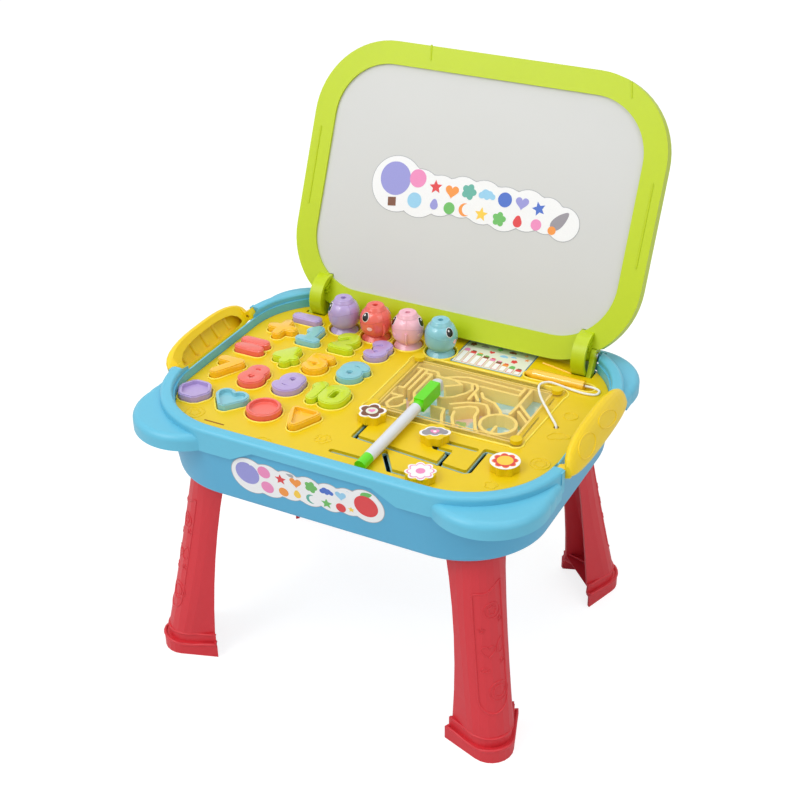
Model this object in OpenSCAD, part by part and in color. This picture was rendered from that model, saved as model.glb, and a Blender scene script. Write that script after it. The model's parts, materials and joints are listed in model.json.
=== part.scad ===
// Children's activity table: a rounded tub on four legs, a play panel with loose
// pieces, slots and a maze, and an upright drawing board on two hinges.
// The front is -Y, the board stands at the back, and the feet stand on Z = 0.

/* [Table] */
// Height of the tub's underside above the floor
leg_h = 155; // [120:1:190]
// Height from the tub's underside to the top of the rim
body_h = 58; // [58:1:70]
// Half the distance between the centres of the left and right corners
corner_x = 83; // [83:1:95]
// Half the distance between the centres of the front and back corners
corner_y = 45; // [45:1:52]
// Inner radius of the rim's rounded corners
rim_r = 64; // [64:1:68]
// Wall thickness of the tub and the legs
wall = 2.5; // [2:0.1:3]

/* [Board] */
// Angle of the board behind the upright
board_tilt = 24; // [10:1:30]
// Thickness of the board's frame
board_t = 10; // [10:0.5:12]
// Diameter of the hinge pins
pin_d = 4; // [3:0.1:5]

/* [Loose pieces] */
// Thickness of the loose pieces
piece_h = 8.5; // [7:0.5:14]
// Width of the strokes of the numbers
stroke_w = 8.4; // [7:0.1:9.2]
// Gap between a loose piece and its pocket
piece_fit = 0.4; // [0.2:0.1:0.6]

/* [Stamps] */
// Diameter of a stamp's round body
stamp_d = 24.6; // [22:0.2:27]
// Distance between two neighbouring stamps
stamp_pitch = 28; // [28:0.5:29]

/* [Marker] */
// Diameter of the marker's barrel
marker_d = 8.3; // [7:0.1:9]
// Length of the marker's barrel
barrel_l = 68; // [60:1:70]

/* [Hidden] */
$fn = 48;

// Colours
rim_blue = [0.43, 0.76, 0.88];
tub_blue = [0.33, 0.67, 0.82];
track_blue = [0.62, 0.83, 0.88];
maze_yellow = [0.90, 0.76, 0.41];
yellow = [0.92, 0.80, 0.16];
lime = [0.77, 0.87, 0.20];
board_white = [0.83, 0.84, 0.83];
leg_red = [0.83, 0.25, 0.29];
purple = [0.73, 0.65, 0.84];
light_blue = [0.53, 0.78, 0.84];
coral = [0.92, 0.43, 0.37];
orange = [0.96, 0.75, 0.16];
pink = [0.94, 0.73, 0.78];
marker_green = [0.43, 0.88, 0.14];
marker_white = [0.84, 0.86, 0.89];
steel = [0.75, 0.76, 0.78];

// Heights
floor_z = leg_h;
rim_top = leg_h + body_h;
lobe_top = rim_top - 6;
skirt_z = rim_top - 18;
ledge_z = rim_top - 5;
panel_top = rim_top - 11.7;
panel_t = 4;
panel_bottom = panel_top - panel_t;
pocket_depth = 3;
pocket_z = panel_top - pocket_depth;

// A place on the panel, typed for the deck's usual size and spread with it
function on_deck(p) = [p[0] * (corner_x + rim_r) / 147, p[1] * (corner_y + rim_r) / 109];

// Plan of the deck: every outline is a rounded rectangle about the same corner centres
deck_y = -1.5;
ring_out = rim_r + 9;
ring_wall = 2.2;
inner_r = rim_r - 1.2;
flange_r = rim_r - 6;
flange_t = 2;
panel_r = inner_r - 0.3;
tub_top_r = rim_r + 1.5;
tub_low_r = rim_r - 3.6;
tub_floor_r = rim_r - 8;
tub_y = corner_y + 5;
tub_side_top = panel_bottom - flange_t;
front_gap = 66;
outline_steps = 16;

// Corner lobes of the rim
lobe_r = 41;
lobe_x = corner_x + 34;
lobe_front_y = -(corner_y + 42);
lobe_back_y = corner_y + 35;
side_lobe_r = 31;
side_lobe_x = corner_x + 44;
side_lobe_y = corner_y + 32;
lobe_edge = 5;
bar_x = corner_x + rim_r + 10.5;
bar_end_y = corner_y + 17;
notch_half = corner_y + 8;
end_block_t = 5;
notch_x = corner_x + rim_r;
rest_x = [-60, 0, 60];

// Board hinge
hinge_y = deck_y + corner_y + rim_r - 11.5;
hinge_z = rim_top;
pin_r = pin_d / 2;
pin_fit = 0.05;
axis_v = 15;
axis_w = -board_t / 2;
board_r = rim_r - 2.2;
board_v = axis_v + hinge_y - deck_y;
window_r = rim_r - 20;
board_wall = 2.2;
board_low = board_v - corner_y - board_r;
edge_swing = norm([axis_v - board_low, board_t / 2]) + 0.4;
board_post_in = window_r + 9.5;
board_posts = [
    for (sx = [-1, 1])
        for (sy = [-1, 1])
            for (p = [[corner_x * 0.6, corner_y + board_post_in],
                      [corner_x + board_post_in * 0.7, corner_y + board_post_in * 0.7]])
                [sx * p[0], board_v + sy * p[1]]];
ear_r = 17.5;
ear_x = corner_x + 23;
ear_w = 10.5;
cheek_x = ear_x + 11;
cheek_w = 3.5;
cheek_r = 6.5;

// Latches: a cushion-shaped shell that leans about its pins, measured from them
latch_axis_x = ring_out + corner_x - 3;
latch_axis_z = rim_top - 5;
latch_pin_r = 1.4;
latch_pin_l = 7.4;
latch_half = notch_half - 0.6;
latch_up = 18.2;
latch_down = 6.4;
latch_deep = 6.2;
latch_out = 5.3;
latch_wall = 2.2;
latch_plan = 2.8;
latch_section = 2.4;
latch_stations = 16;
latch_sides = 24;
latch_lean_left = 36;
latch_lean_right = -18;
lug_l = 7;
lug_h = 3.6;
grip_pitch = 15;
grip_r = 2.2;

// Legs: the section is a flat inner side and a round outer side, with a radius at its nose
foot_x = corner_x + 33.2;
foot_y = corner_y + 46;
foot_h = 19;
foot_step_h = 11;
foot_half = 28;
foot_depth = 35.5;
foot_nose = 16.5;
ankle_half = 24.8;
ankle_depth = 31.5;
ankle_nose = 16;
shaft_z = 18;
shaft_steps = 6;
nose_steps = 8;
leg_top_t = 3;
lean = 0.2;
tenon_w = 27;
tenon_d = 10;
tenon_in = 2.8;
tenon_h = 30;
tenon_fit = 0.3;
socket_wall = 2.2;

// Screws under the tub
screw_at = [[-20, -96], [-20, 94], [-125, -46], [-127, 29], [132, 34], [130, -26]];
screw_post_r = 5;
boss_len = 10;
screw_r = 1.4;
screw_head_r = 3;
screw_len = 16;
screw_shoulder = panel_bottom - boss_len - 8;

// Loose pieces
edge_h = 0.8;
dish_h = 3;
dish_wall = 2.6;
least_hole = 1;
minus = 11;
plus = 12;
equals = 13;
hexagon = 14;
heart = 15;
circle_piece = 16;
triangle = 17;
number_at = [for (p = [
    [-93.5, 44.3], [-64.5, 44.7], [-35.5, 45], [-94.5, 8], [-68, 7.5],
    [-38.5, 8], [-128, -27], [-101, -28], [-71, -27], [-37.5, -28]]) on_deck(p)];
minus_at = on_deck([-111.5, 66.5]);
plus_at = on_deck([-120.5, 44]);
equals_at = on_deck([-127.3, 10.3]);
hexagon_at = on_deck([-128.7, -65.3]);
heart_at = on_deck([-99, -65]);
circle_at = on_deck([-70, -65]);
triangle_at = on_deck([-40, -65]);
pocket_list = [
    [minus, minus_at], [plus, plus_at], [equals, equals_at], [hexagon, hexagon_at],
    [heart, heart_at], [circle_piece, circle_at], [triangle, triangle_at]];

// Stamps
stamp_x0 = -79.8;
stamp_y = 70.2;
stamp_r = stamp_d / 2;
stamp_foot_r = 10.8;
stamp_pocket_r = 12;
stamp_foot_t = 2.6;
stamp_neck_r = 6.5;
stamp_neck_z = 7.2;
stamp_centre_z = 17.2;

// Slots and sliding knobs
slot_w = 4.4;
track_w = 2.8;
track_t = 1.5;
slot_paths = [
    [[3, -36], [3, -64], [90, -71], [93, -69], [93, -41], [113, -41], [113, -57]],
    [[53, -43], [86, -43]],
    [[55, -43], [60, -52.5], [70.5, -52.5], [70.5, -70]],
    [[31.4, -72.8], [44.5, -91], [70, -91]],
    [[-2, -87], [18, -87]]];
knob_at = [[3, -38], [55, -43], [68, -91], [113, -55]];
knob_r = 10;
knob_scallop = 0.8;
knob_h = 6;
knob_gap = 0.1;
stem_r = 1.2;
retainer_r = 5;
retainer_t = 1.5;
track_x0 = -8;
track_x1 = 119;
track_y0 = -95.5;
track_y1 = -34;

// Maze
maze_x0 = -3;
maze_x1 = 105;
maze_y0 = -24;
maze_y1 = 50;
maze_floor = panel_top - 9.8;
card_t = 0.5;
maze_wall_t = 2.2;
maze_tray_t = 1.5;
cover_t = 1.5;
rivet_x0 = -3.7;
rivet_x1 = 107.6;
rivet_y0 = -24.1;
rivet_y1 = 50.2;
rivet_r = 4.2;
maze_paths = [
    [[-2, 41], [16, 41], [19, 37]],
    [[3.5, 41], [3.5, 10], [-2, 10]],
    [[8, 41], [8, 9]],
    [[8, 36], [13.5, 36], [13.5, 7], [18, -1], [18, -8]],
    [[-2, -1], [8, -1], [3, -7], [2, -15], [6, -19]],
    [[12, -5], [14, -9], [12, -15], [6, -19]],
    [[18, 36], [24, 36], [32, 41], [40, 44], [84, 43]],
    [[24, 36], [33, 36], [40, 32], [36, 29], [30, 25]],
    [[33, 36], [46, 37], [50, 29], [48, 23], [42, 14], [35, 9], [32, 9]],
    [[33, -4], [43, -4], [45, -12], [50, -22.5]],
    [[46, 37], [50, 37], [53, 32], [53, 16]],
    [[53, 36], [84, 36], [84, 49]],
    [[58, 28], [62, 22], [72, 19], [80, 11], [83, 6.5]],
    [[54, 25], [60, 17]],
    [[89, 49], [89, 25], [96, 18], [104, 10]],
    [[89, 25], [88, 10]],
    [[92, 16], [104, 4]],
    [[44, 4], [54, 11], [62, 14], [68, 14], [72, 9], [75.5, 2]],
    [[49, 0], [58, 7], [63, 8], [66, 4], [67, -4], [74, -18], [78, -23]],
    [[51, -4], [53, -12], [59, -22]],
    [[86, -9], [86, -23]]];
maze_ring_at = [86, -6];
maze_ring_r = 13;
cover_x0 = -10;
cover_x1 = 113;
cover_y0 = -30;
cover_y1 = 56;

// Picture card
card_x0 = 16.4;
card_x1 = 74;
card_y0 = 61;
card_y1 = 97;

// Stylus, its groove and its cord
stylus_x0 = 76;
stylus_x1 = 122;
stylus_y = 67.5;
stylus_r = 4.2;
groove_gap = 0.5;
cord_r = 0.9;
cord_sides = 8;
cord_steps = 3;
cord_hole = [124.2, 8];
cord_hole_r = cord_r + 1.2;
cord_low = panel_top + 1;
cord_high = panel_top + 2.9;
cord_route = [
    [122.3, 67.5, panel_top + 1.3],
    [128, 68, panel_top + 1.2],
    [134, 66, cord_low],
    [134, 60, cord_low],
    [126, 58, cord_low],
    [115, 59, cord_low],
    [105, 61, cord_low + 0.1],
    [97, 60, cord_low + 1.2],
    [93, 53, cord_high],
    [96, 44, cord_high],
    [103, 33, cord_high],
    [111, 23, cord_high],
    [118, 15, cord_low + 0.9],
    [122.4, 10.2, cord_low + 0.2],
    [124.3, 7.9, panel_top - 0.4],
    [124.5, 7.5, panel_bottom - 1]];

// Marker, lying with its rear end on the panel and its box on the maze's cover
marker_x = 27.8;
marker_y = -101.3;
marker_r = marker_d / 2;
marker_gap = 0.15;
marker_z = panel_top + marker_r + marker_gap;
marker_rise = 1.67;
marker_turn = 1.2;
plug_l = 11.7;
plug_in = 6;
cap_l = 4.4;
box_l = 26;
box_half = marker_r - 0.3;
box_low = (marker_z - panel_top - cover_t - marker_gap) / cos(marker_rise)
    + (plug_l + barrel_l + cap_l) * tan(marker_rise);
eraser_l = 6;
nib_r = 1.8;
neck_l = 10;

function arc_points(c, r, a0, a1, n) =
    [for (i = [0:n]) let (a = a0 + (a1 - a0) * i / n) c + r * [cos(a), sin(a)]];

function rounded(cx, cy, r, n) = concat(
    arc_points([cx, cy], r, 0, 90, n),
    arc_points([-cx, cy], r, 90, 180, n),
    arc_points([-cx, -cy], r, 180, 270, n),
    arc_points([cx, -cy], r, 270, 360, n));

function deck_outline(r) = rounded(corner_x, corner_y, r, outline_steps);

function bar_points(p, q, w, n) =
    let (a = atan2(q[1] - p[1], q[0] - p[0]))
    concat(arc_points(p, w / 2, a + 90, a + 270, n), arc_points(q, w / 2, a - 90, a + 90, n));

function disc_points(c, r, n) =
    [for (i = [0:n - 1]) c + r * [cos(360 * i / n), sin(360 * i / n)]];

module bar(p, q, w, n = 6) {
    polygon(bar_points(p, q, w, n));
}

module path(points, w, n = 3) {
    for (i = [0:len(points) - 2])
        bar(points[i], points[i + 1], w, n);
}

// A round stroke, or a slice of a disc where the stroke is too wide to leave a hole
module curve(c, r, a0, a1, w, n = 12) {
    polygon(concat(
        arc_points(c, r + w / 2, a0, a1, n),
        r - w / 2 < least_hole ? [c] : arc_points(c, r - w / 2, a1, a0, n)));
    for (a = [a0, a1])
        disc(c + r * [cos(a), sin(a)], w / 2, 16);
}

module disc(c, r, n = 24) {
    polygon(disc_points(c, r, n));
}

module loop(c, r, w, filled) {
    difference() {
        disc(c, r + w / 2);
        if (!filled)
            disc(c, r - w / 2, 12);
    }
}

module block(x0, x1, y0, y1, z0, z1) {
    translate([x0, y0, z0])
        cube([x1 - x0, y1 - y0, z1 - z0]);
}

// A solid through rings of points, each with as many points as the last and drawn
// counter-clockwise as seen from the last ring
module loft(rings) {
    n = len(rings[0]);
    last = len(rings) - 1;
    polyhedron([for (ring = rings) for (p = ring) p], concat(
        [[for (k = [0:n - 1]) k]],
        [[for (k = [n - 1:-1:0]) last * n + k]],
        [for (i = [0:last - 1])
            for (k = [0:n - 1])
                for (half = [0, 1])
                    let (a = i * n + k, b = i * n + (k + 1) % n)
                    half == 0 ? [a, a + n, b + n] : [a, b + n, b]]));
}

module both_sides() {
    children();
    mirror([1, 0, 0])
        children();
}

// Sweeps a profile drawn in (radius, height) around the rounded rectangle of the deck
module around_deck(cy = corner_y) {
    translate([0, deck_y, 0])
        for (i = [0:3]) {
            a = i % 2 == 0 ? corner_x : cy;
            b = i % 2 == 0 ? cy : corner_x;
            rotate(90 * i) {
                translate([a, b, 0]) {
                    rotate_extrude(angle = 90)
                        children();
                    rotate([90, 0, 0])
                        linear_extrude(2 * b)
                            children();
                }
            }
        }
}

module deck_plate(r, z0, z1, cy = corner_y) {
    translate([0, deck_y, z0])
        linear_extrude(z1 - z0)
            polygon(rounded(corner_x, cy, r, outline_steps));
}

// Numbers are strokes with round ends, drawn about their middle
module number_outline(k, w, filled) {
    if (k == 1) {
        bar([0.5, 8.8], [0.5, -8], w + 1);
        bar([-6, -8.6], [6.5, -8.6], w);
        bar([0, 8.8], [-3.6, 5.2], w);
    }
    if (k == 2) {
        curve([0, 4.2], 5.6, -30, 165, w);
        bar([4.9, 1.4], [-6, -8.8], w);
        bar([-6.2, -8.8], [6.5, -8.8], w);
    }
    if (k == 3) {
        curve([-0.8, 5], 4.9, -90, 150, w);
        curve([-0.8, -4.5], 5.2, -150, 90, w);
    }
    if (k == 4) {
        bar([2, 9], [-6.5, -2.5], w);
        bar([-6.5, -3], [7, -3], w);
        bar([2.5, 9], [2.5, -9], w);
        if (filled)
            polygon([[2, 9], [-6.5, -3], [2.5, -3]]);
    }
    if (k == 5) {
        bar([6, 9], [-5, 9], w);
        bar([-5, 9], [-5, 1.2], w);
        curve([-0.3, -3.4], 5.6, -150, 125, w);
    }
    if (k == 6) {
        curve([1, 2.5], 7.2, 20, 200, w);
        loop([0, -3.9], 5.9, w, filled);
    }
    if (k == 7) {
        bar([-7, 9.3], [7, 9.3], w);
        bar([6.8, 9], [-2.5, -9.3], w);
    }
    if (k == 8) {
        loop([0, 5], 5, w - 0.8, filled);
        loop([0, -4.6], 6, w, filled);
    }
    if (k == 9) {
        curve([-1, -2.5], 7.2, 200, 380, w);
        loop([0, 3.9], 5.9, w, filled);
    }
    if (k == 10) {
        one_x = -1.5 - stroke_w;
        bar([one_x, -9], [one_x, 9], w);
        bar([one_x, 9], [one_x - 3, 6], w);
        bar([-2, -3.4], [-2, 3.4], w);
        bar([10.6, -3.4], [10.6, 3.4], w);
        curve([4.3, 3.4], 6.3, 0, 180, w);
        curve([4.3, -3.4], 6.3, 180, 360, w);
        if (filled)
            bar([4.3, -3.4], [4.3, 3.4], w);
    }
}

// The outline of a loose piece, grown by a margin on every side
module piece_outline(kind, grow, filled) {
    w = stroke_w + 2 * grow;
    if (kind <= 10)
        number_outline(kind, w, filled);
    if (kind == minus)
        bar([-8.2, 0], [8.2, 0], w + 1.1);
    if (kind == plus) {
        bar([-8.8, 0], [8.8, 0], w);
        bar([0, -8.8], [0, 8.8], w);
    }
    if (kind == equals) {
        bar([-7.4, -5.2], [8.2, -5.2], w + 1);
        bar([-8.2, 5.2], [7.4, 5.2], w + 1);
        if (grow >= 0)
            square([12, 8], center = true);
    }
    if (kind == hexagon) {
        path([for (i = [0:6]) 8.9 * [cos(60 * i), sin(60 * i)]], w);
        disc([0, 0], 9, 6);
    }
    if (kind == heart) {
        disc([-5.6, 4], 7.4 + grow);
        disc([5.6, 4], 7.4 + grow);
        bar([-1.4, -9], [1.4, -9], 5 + 2 * grow);
        polygon([
            [-11.9 - grow, 0.2], [-3.2 - grow, -11], [3.2 + grow, -11],
            [11.9 + grow, 0.2], [6, 6], [-6, 6]]);
    }
    if (kind == circle_piece)
        disc([0, 0], 12.8 + grow, 36);
    if (kind == triangle) {
        path([[-7.3, 7.8], [7.3, 7.8], [0, -8.8], [-7.3, 7.8]], w, 6);
        polygon([[-7.3, 7.8], [7.3, 7.8], [0, -8.8]]);
    }
}

module loose_piece(kind, at) {
    translate([at[0], at[1], pocket_z])
        difference() {
            union() {
                linear_extrude(piece_h - edge_h)
                    piece_outline(kind, 0, false);
                linear_extrude(piece_h)
                    piece_outline(kind, -edge_h, false);
            }
            if (kind >= hexagon)
                translate([0, 0, piece_h - dish_h])
                    linear_extrude(dish_h + 1)
                        piece_outline(kind, -dish_wall, false);
        }
}

module tub_wall_profile() {
    low = floor_z + 4;
    polygon([
        [tub_floor_r, floor_z],
        [tub_floor_r + 2.3, floor_z + 0.7],
        [tub_floor_r + 3.8, floor_z + 2.1],
        [tub_low_r, low],
        [tub_top_r, skirt_z],
        [tub_top_r, tub_side_top],
        [tub_top_r - wall, tub_side_top],
        [tub_low_r - wall, low],
        [tub_floor_r, floor_z + wall]]);
}

module at_leg(i) {
    sx = i % 2 == 0 ? -1 : 1;
    sy = i < 2 ? -1 : 1;
    translate([sx * foot_x, deck_y + sy * foot_y, 0])
        rotate(atan2(sy, sx))
            children();
}

// A leaning box along the leg's axis: grow widens it, z0 to z1 is its height above the floor
module leaning_box(grow, z0, z1) {
    x0 = tenon_in - shaft_in(floor_z) - grow;
    x1 = x0 + tenon_d + 2 * grow;
    half = tenon_w / 2 + grow;
    loft([for (z = [z0, z1])
        [for (p = [[x0, -half], [x1, -half], [x1, half], [x0, half]])
            [p[0] - lean * (z - floor_z), p[1], z]]]);
}

module tub() {
    color(tub_blue)
        difference() {
            union() {
                around_deck(tub_y)
                    tub_wall_profile();
                deck_plate(tub_floor_r + 0.2, floor_z, floor_z + wall, tub_y);
                for (turn = [0, 180])
                    translate([0, deck_y, 0])
                        rotate(turn)
                            block(-front_gap - wall, front_gap + wall, tub_y + tub_top_r - wall,
                                tub_y + tub_top_r, tub_side_top - 1, lobe_top);
                for (i = [0:3])
                    at_leg(i)
                        leaning_box(tenon_fit + socket_wall, floor_z, floor_z + tenon_h + 1.5);
                for (p = screw_at)
                    translate([p[0], p[1], floor_z])
                        cylinder(h = panel_bottom - boss_len - floor_z, r = screw_post_r);
            }
            for (i = [0:3])
                at_leg(i)
                    leaning_box(tenon_fit, floor_z - 1, floor_z + tenon_h + 0.3);
            for (p = screw_at)
                translate([p[0], p[1], 0]) {
                    translate([0, 0, floor_z - 1])
                        cylinder(h = screw_shoulder - floor_z + 1, r = screw_head_r + 0.4);
                    translate([0, 0, floor_z - 1])
                        cylinder(h = body_h, r = screw_r + 0.3);
                }
        }
}

module tub_screws() {
    color(steel)
        for (p = screw_at)
            translate([p[0], p[1], screw_shoulder]) {
                translate([0, 0, -2])
                    cylinder(h = 2, r = screw_head_r);
                translate([0, 0, -0.1])
                    cylinder(h = screw_len, r = screw_r - 0.05);
            }
}

module rim_profile() {
    difference() {
        union() {
            polygon([
                [ring_out, skirt_z], [ring_out, rim_top - 3], [ring_out - 3, rim_top],
                [rim_r + 2, rim_top], [rim_r, rim_top - 2], [rim_r, ledge_z],
                [inner_r, ledge_z], [inner_r, panel_bottom], [flange_r, panel_bottom],
                [flange_r, panel_bottom - flange_t],
                [inner_r + ring_wall, panel_bottom - flange_t],
                [inner_r + ring_wall, ledge_z - ring_wall],
                [rim_r + ring_wall, ledge_z - ring_wall],
                [rim_r + ring_wall, rim_top - ring_wall],
                [ring_out - ring_wall, rim_top - ring_wall],
                [ring_out - ring_wall, skirt_z]]);
            translate([ring_out - 3, rim_top - 3])
                circle(r = 3);
            translate([rim_r + 2, rim_top - 2])
                circle(r = 2);
        }
        translate([rim_r + ring_wall, ledge_z - 1])
            square([ring_out - rim_r - 2 * ring_wall, rim_top - ring_wall - ledge_z + 1]);
    }
}

// A solid's profile with a round outer top edge, from a height up to its top
module edge_profile(r, low, top, e) {
    translate([0, low])
        square([r - e, top - low]);
    translate([0, low])
        square([r, top - e - low]);
    translate([r - e, top - e])
        circle(r = e);
}

// The rim's four corner lobes, shrunk by an inset for the hollow inside
module lobes(inset) {
    low = skirt_z - (inset > 0 ? 1 : 0);
    top = lobe_top - inset;
    e = lobe_edge - inset;
    both_sides() {
        for (p = [[lobe_x, lobe_front_y, lobe_r], [lobe_x, lobe_back_y, lobe_r],
                  [side_lobe_x, -side_lobe_y, side_lobe_r],
                  [side_lobe_x, side_lobe_y, side_lobe_r]])
            translate([p[0], deck_y + p[1], 0])
                rotate_extrude()
                    edge_profile(p[2] - inset, low, top, e);
        translate([corner_x, deck_y, 0])
            for (m = [0, 1])
                mirror([0, m, 0])
                    translate([0, side_lobe_y, 0])
                        rotate([90, 0, 0])
                            linear_extrude(side_lobe_y - bar_end_y - inset)
                                edge_profile(bar_x - corner_x - inset, low, top, e);
    }
}

// Room for the lid's two ears to turn in
module ear_slots() {
    both_sides()
        translate([ear_x - 1.5, hinge_y, hinge_z])
            rotate([0, 90, 0])
                cylinder(h = ear_w + cheek_w + 4, r = ear_r + 0.7);
}

module rim_frame() {
    color(rim_blue)
        difference() {
            union() {
                around_deck()
                    rim_profile();
                difference() {
                    lobes(0);
                    lobes(ring_wall);
                    deck_plate(ring_out - 1, skirt_z - 1, rim_top);
                }
                both_sides()
                    for (m = [-1, 1])
                        block(notch_x, corner_x + ring_out - 0.5,
                            deck_y + (m < 0 ? -notch_half - end_block_t : notch_half),
                            deck_y + (m < 0 ? -notch_half : notch_half + end_block_t),
                            rim_top - 10, rim_top - 1);
                for (x = rest_x)
                    for (turn = [0, 180])
                        translate([0, deck_y, 0])
                            rotate(turn)
                                block(x - 2, x + 2, corner_y + rim_r + 1, corner_y + ring_out - 1,
                                    lobe_top, rim_top - 1);
            }
            both_sides() {
                block(notch_x, bar_x + 9, deck_y - notch_half, deck_y + notch_half,
                    skirt_z - 5, rim_top + 5);
                translate([latch_axis_x, deck_y, latch_axis_z])
                    rotate([90, 0, 0])
                        cylinder(h = 2 * notch_half + 6, r = latch_pin_r, center = true);
            }
            ear_slots();
            translate([0, hinge_y, hinge_z])
                rotate([0, 90, 0])
                    cylinder(h = 2 * ear_x, r = edge_swing, center = true);
            rotate([90, 0, 0])
                linear_extrude(200)
                    polygon([
                        [-front_gap, skirt_z - 1], [front_gap, skirt_z - 1],
                        [front_gap - 20, skirt_z + 9.5], [20 - front_gap, skirt_z + 9.5]]);
        }
}

module latch_pins() {
    color(steel)
        both_sides()
            for (m = [-1, 1])
                translate([latch_axis_x, deck_y + m * (notch_half - 0.9), latch_axis_z])
                    rotate([90, 0, 0])
                        cylinder(h = latch_pin_l, r = latch_pin_r, center = true);
}

function bulge(t, power) = sign(t) * abs(t) ^ (2 / power);

// How much of its full section a latch keeps, this far along it
function latch_share(y, half) = (1 - abs(y / half) ^ latch_plan) ^ (1 / latch_plan);

function latch_ring(y, half, inset) = [
    for (i = [0:latch_sides - 1])
        let (
            a = -360 * i / latch_sides,
            k = latch_share(y, half),
            x = (latch_deep - inset) * k * bulge(cos(a), latch_section),
            z = ((sin(a) > 0 ? latch_up : latch_down) - inset) * k * bulge(sin(a), latch_section))
        [latch_out + x, y, z]];

module latch_cushion(inset) {
    half = latch_half + 0.4 - inset;
    loft([for (i = [0:latch_stations])
        latch_ring(half * sin(82 * (2 * i / latch_stations - 1)), half, inset)]);
}

module latch(lean_out) {
    color(yellow)
        translate([latch_axis_x, deck_y, latch_axis_z])
            rotate([0, lean_out, 0])
                difference() {
                    union() {
                        difference() {
                            latch_cushion(0);
                            latch_cushion(latch_wall);
                            block(-latch_deep, latch_out - latch_deep / 2, lug_l - latch_half,
                                latch_half - lug_l, -latch_down, latch_up);
                        }
                        for (m = [-1, 1])
                            block(-lug_h, latch_out, m < 0 ? -latch_half : latch_half - lug_l,
                                m < 0 ? lug_l - latch_half : latch_half, -lug_h, lug_h);
                        intersection() {
                            latch_cushion(0.5);
                            for (k = [-2:2])
                                translate([latch_out + latch_deep - latch_wall, grip_pitch * k, 0])
                                    cylinder(h = latch_up, r = grip_r, $fn = 12);
                        }
                    }
                    rotate([90, 0, 0])
                        cylinder(h = 2 * latch_half + 4, r = latch_pin_r + pin_fit, center = true);
                }
}

module latch_left() {
    mirror([1, 0, 0])
        latch(latch_lean_left);
}

module latch_right() {
    latch(latch_lean_right);
}

module slot_lines(w) {
    for (line = slot_paths)
        path(line, w, 6);
}

module play_panel() {
    color(yellow)
        difference() {
            union() {
                deck_plate(panel_r, panel_bottom, panel_top);
                for (p = screw_at)
                    translate([p[0], p[1], panel_bottom - boss_len])
                        cylinder(h = boss_len + 0.5, r = screw_post_r);
            }
            translate([0, 0, pocket_z]) {
                linear_extrude(pocket_depth + 1) {
                    for (k = [1:10])
                        translate(number_at[k - 1])
                            piece_outline(k, piece_fit, true);
                    for (p = pocket_list)
                        translate(p[1])
                            piece_outline(p[0], piece_fit, true);
                    bar([stylus_x0 + stylus_r - groove_gap, stylus_y],
                        [stylus_x1 + 3, stylus_y], 2 * (stylus_r + groove_gap));
                }
                for (i = [0:3])
                    translate([stamp_x0 + stamp_pitch * i, stamp_y, 0])
                        linear_extrude(pocket_depth + 1)
                            disc([0, 0], stamp_pocket_r, 36);
            }
            translate([0, 0, panel_bottom - 1])
                linear_extrude(panel_t + 2) {
                    slot_lines(slot_w);
                    square_between(maze_x0, maze_x1, maze_y0, maze_y1);
                    disc(cord_hole, cord_hole_r, 12);
                    for (m = [-1, 1])
                        square_between(m * (ear_x - 1), m * (ear_x + 16), hinge_y - 14, hinge_y + 20);
                }
            block(track_x0 - 0.2, track_x1 + 0.2, track_y0 - 0.2, track_y1 + 0.2,
                panel_bottom - 1, panel_bottom + track_t);
            block(card_x0 - 0.3, card_x1 + 0.3, card_y0 - 0.3, card_y1 + 0.3,
                panel_top - 1, panel_top + 1);
            for (p = screw_at)
                translate([p[0], p[1], panel_bottom - boss_len - 1])
                    cylinder(h = boss_len, r = screw_r);
        }
}

module square_between(x0, x1, y0, y1) {
    polygon([[x0, y0], [x1, y0], [x1, y1], [x0, y1]]);
}

module track_plate() {
    color(track_blue)
        translate([0, 0, panel_bottom])
            linear_extrude(track_t)
                difference() {
                    square_between(track_x0, track_x1, track_y0, track_y1);
                    slot_lines(track_w);
                }
}

module knob(i) {
    color(yellow)
        translate([knob_at[i][0], knob_at[i][1], panel_top]) {
            translate([0, 0, knob_gap])
                linear_extrude(knob_h)
                    polygon([for (a = [0:9:351]) (knob_r + knob_scallop * cos(8 * a)) * [cos(a), sin(a)]]);
            translate([0, 0, -panel_t - 0.3 - retainer_t + 0.1])
                linear_extrude(panel_t + retainer_t + 1)
                    disc([0, 0], stem_r, 12);
            translate([0, 0, -panel_t - 0.3 - retainer_t])
                linear_extrude(retainer_t)
                    disc([0, 0], retainer_r, 20);
        }
}

module knob_front_left() {
    knob(0);
}

module knob_middle() {
    knob(1);
}

module knob_front() {
    knob(2);
}

module knob_right() {
    knob(3);
}

module maze_tray() {
    color(track_blue)
        translate([0, 0, maze_floor]) {
            translate([0, 0, -card_t - maze_tray_t])
                linear_extrude(maze_tray_t)
                    square_between(maze_x0 - 2, maze_x1 + 2, maze_y0 - 2, maze_y1 + 2);
            translate([0, 0, -card_t - maze_tray_t])
                linear_extrude(panel_bottom - maze_floor + card_t + maze_tray_t)
                    difference() {
                        square_between(maze_x0 - 2, maze_x1 + 2, maze_y0 - 2, maze_y1 + 2);
                        square_between(maze_x0 - 0.5, maze_x1 + 0.5, maze_y0 - 0.5, maze_y1 + 0.5);
                    }
        }
}

module maze_floor_card() {
    color(track_blue)
        translate([0, 0, maze_floor - card_t])
            linear_extrude(card_t)
                square_between(maze_x0 - 0.3, maze_x1 + 0.3, maze_y0 - 0.3, maze_y1 + 0.3);
}

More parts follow.
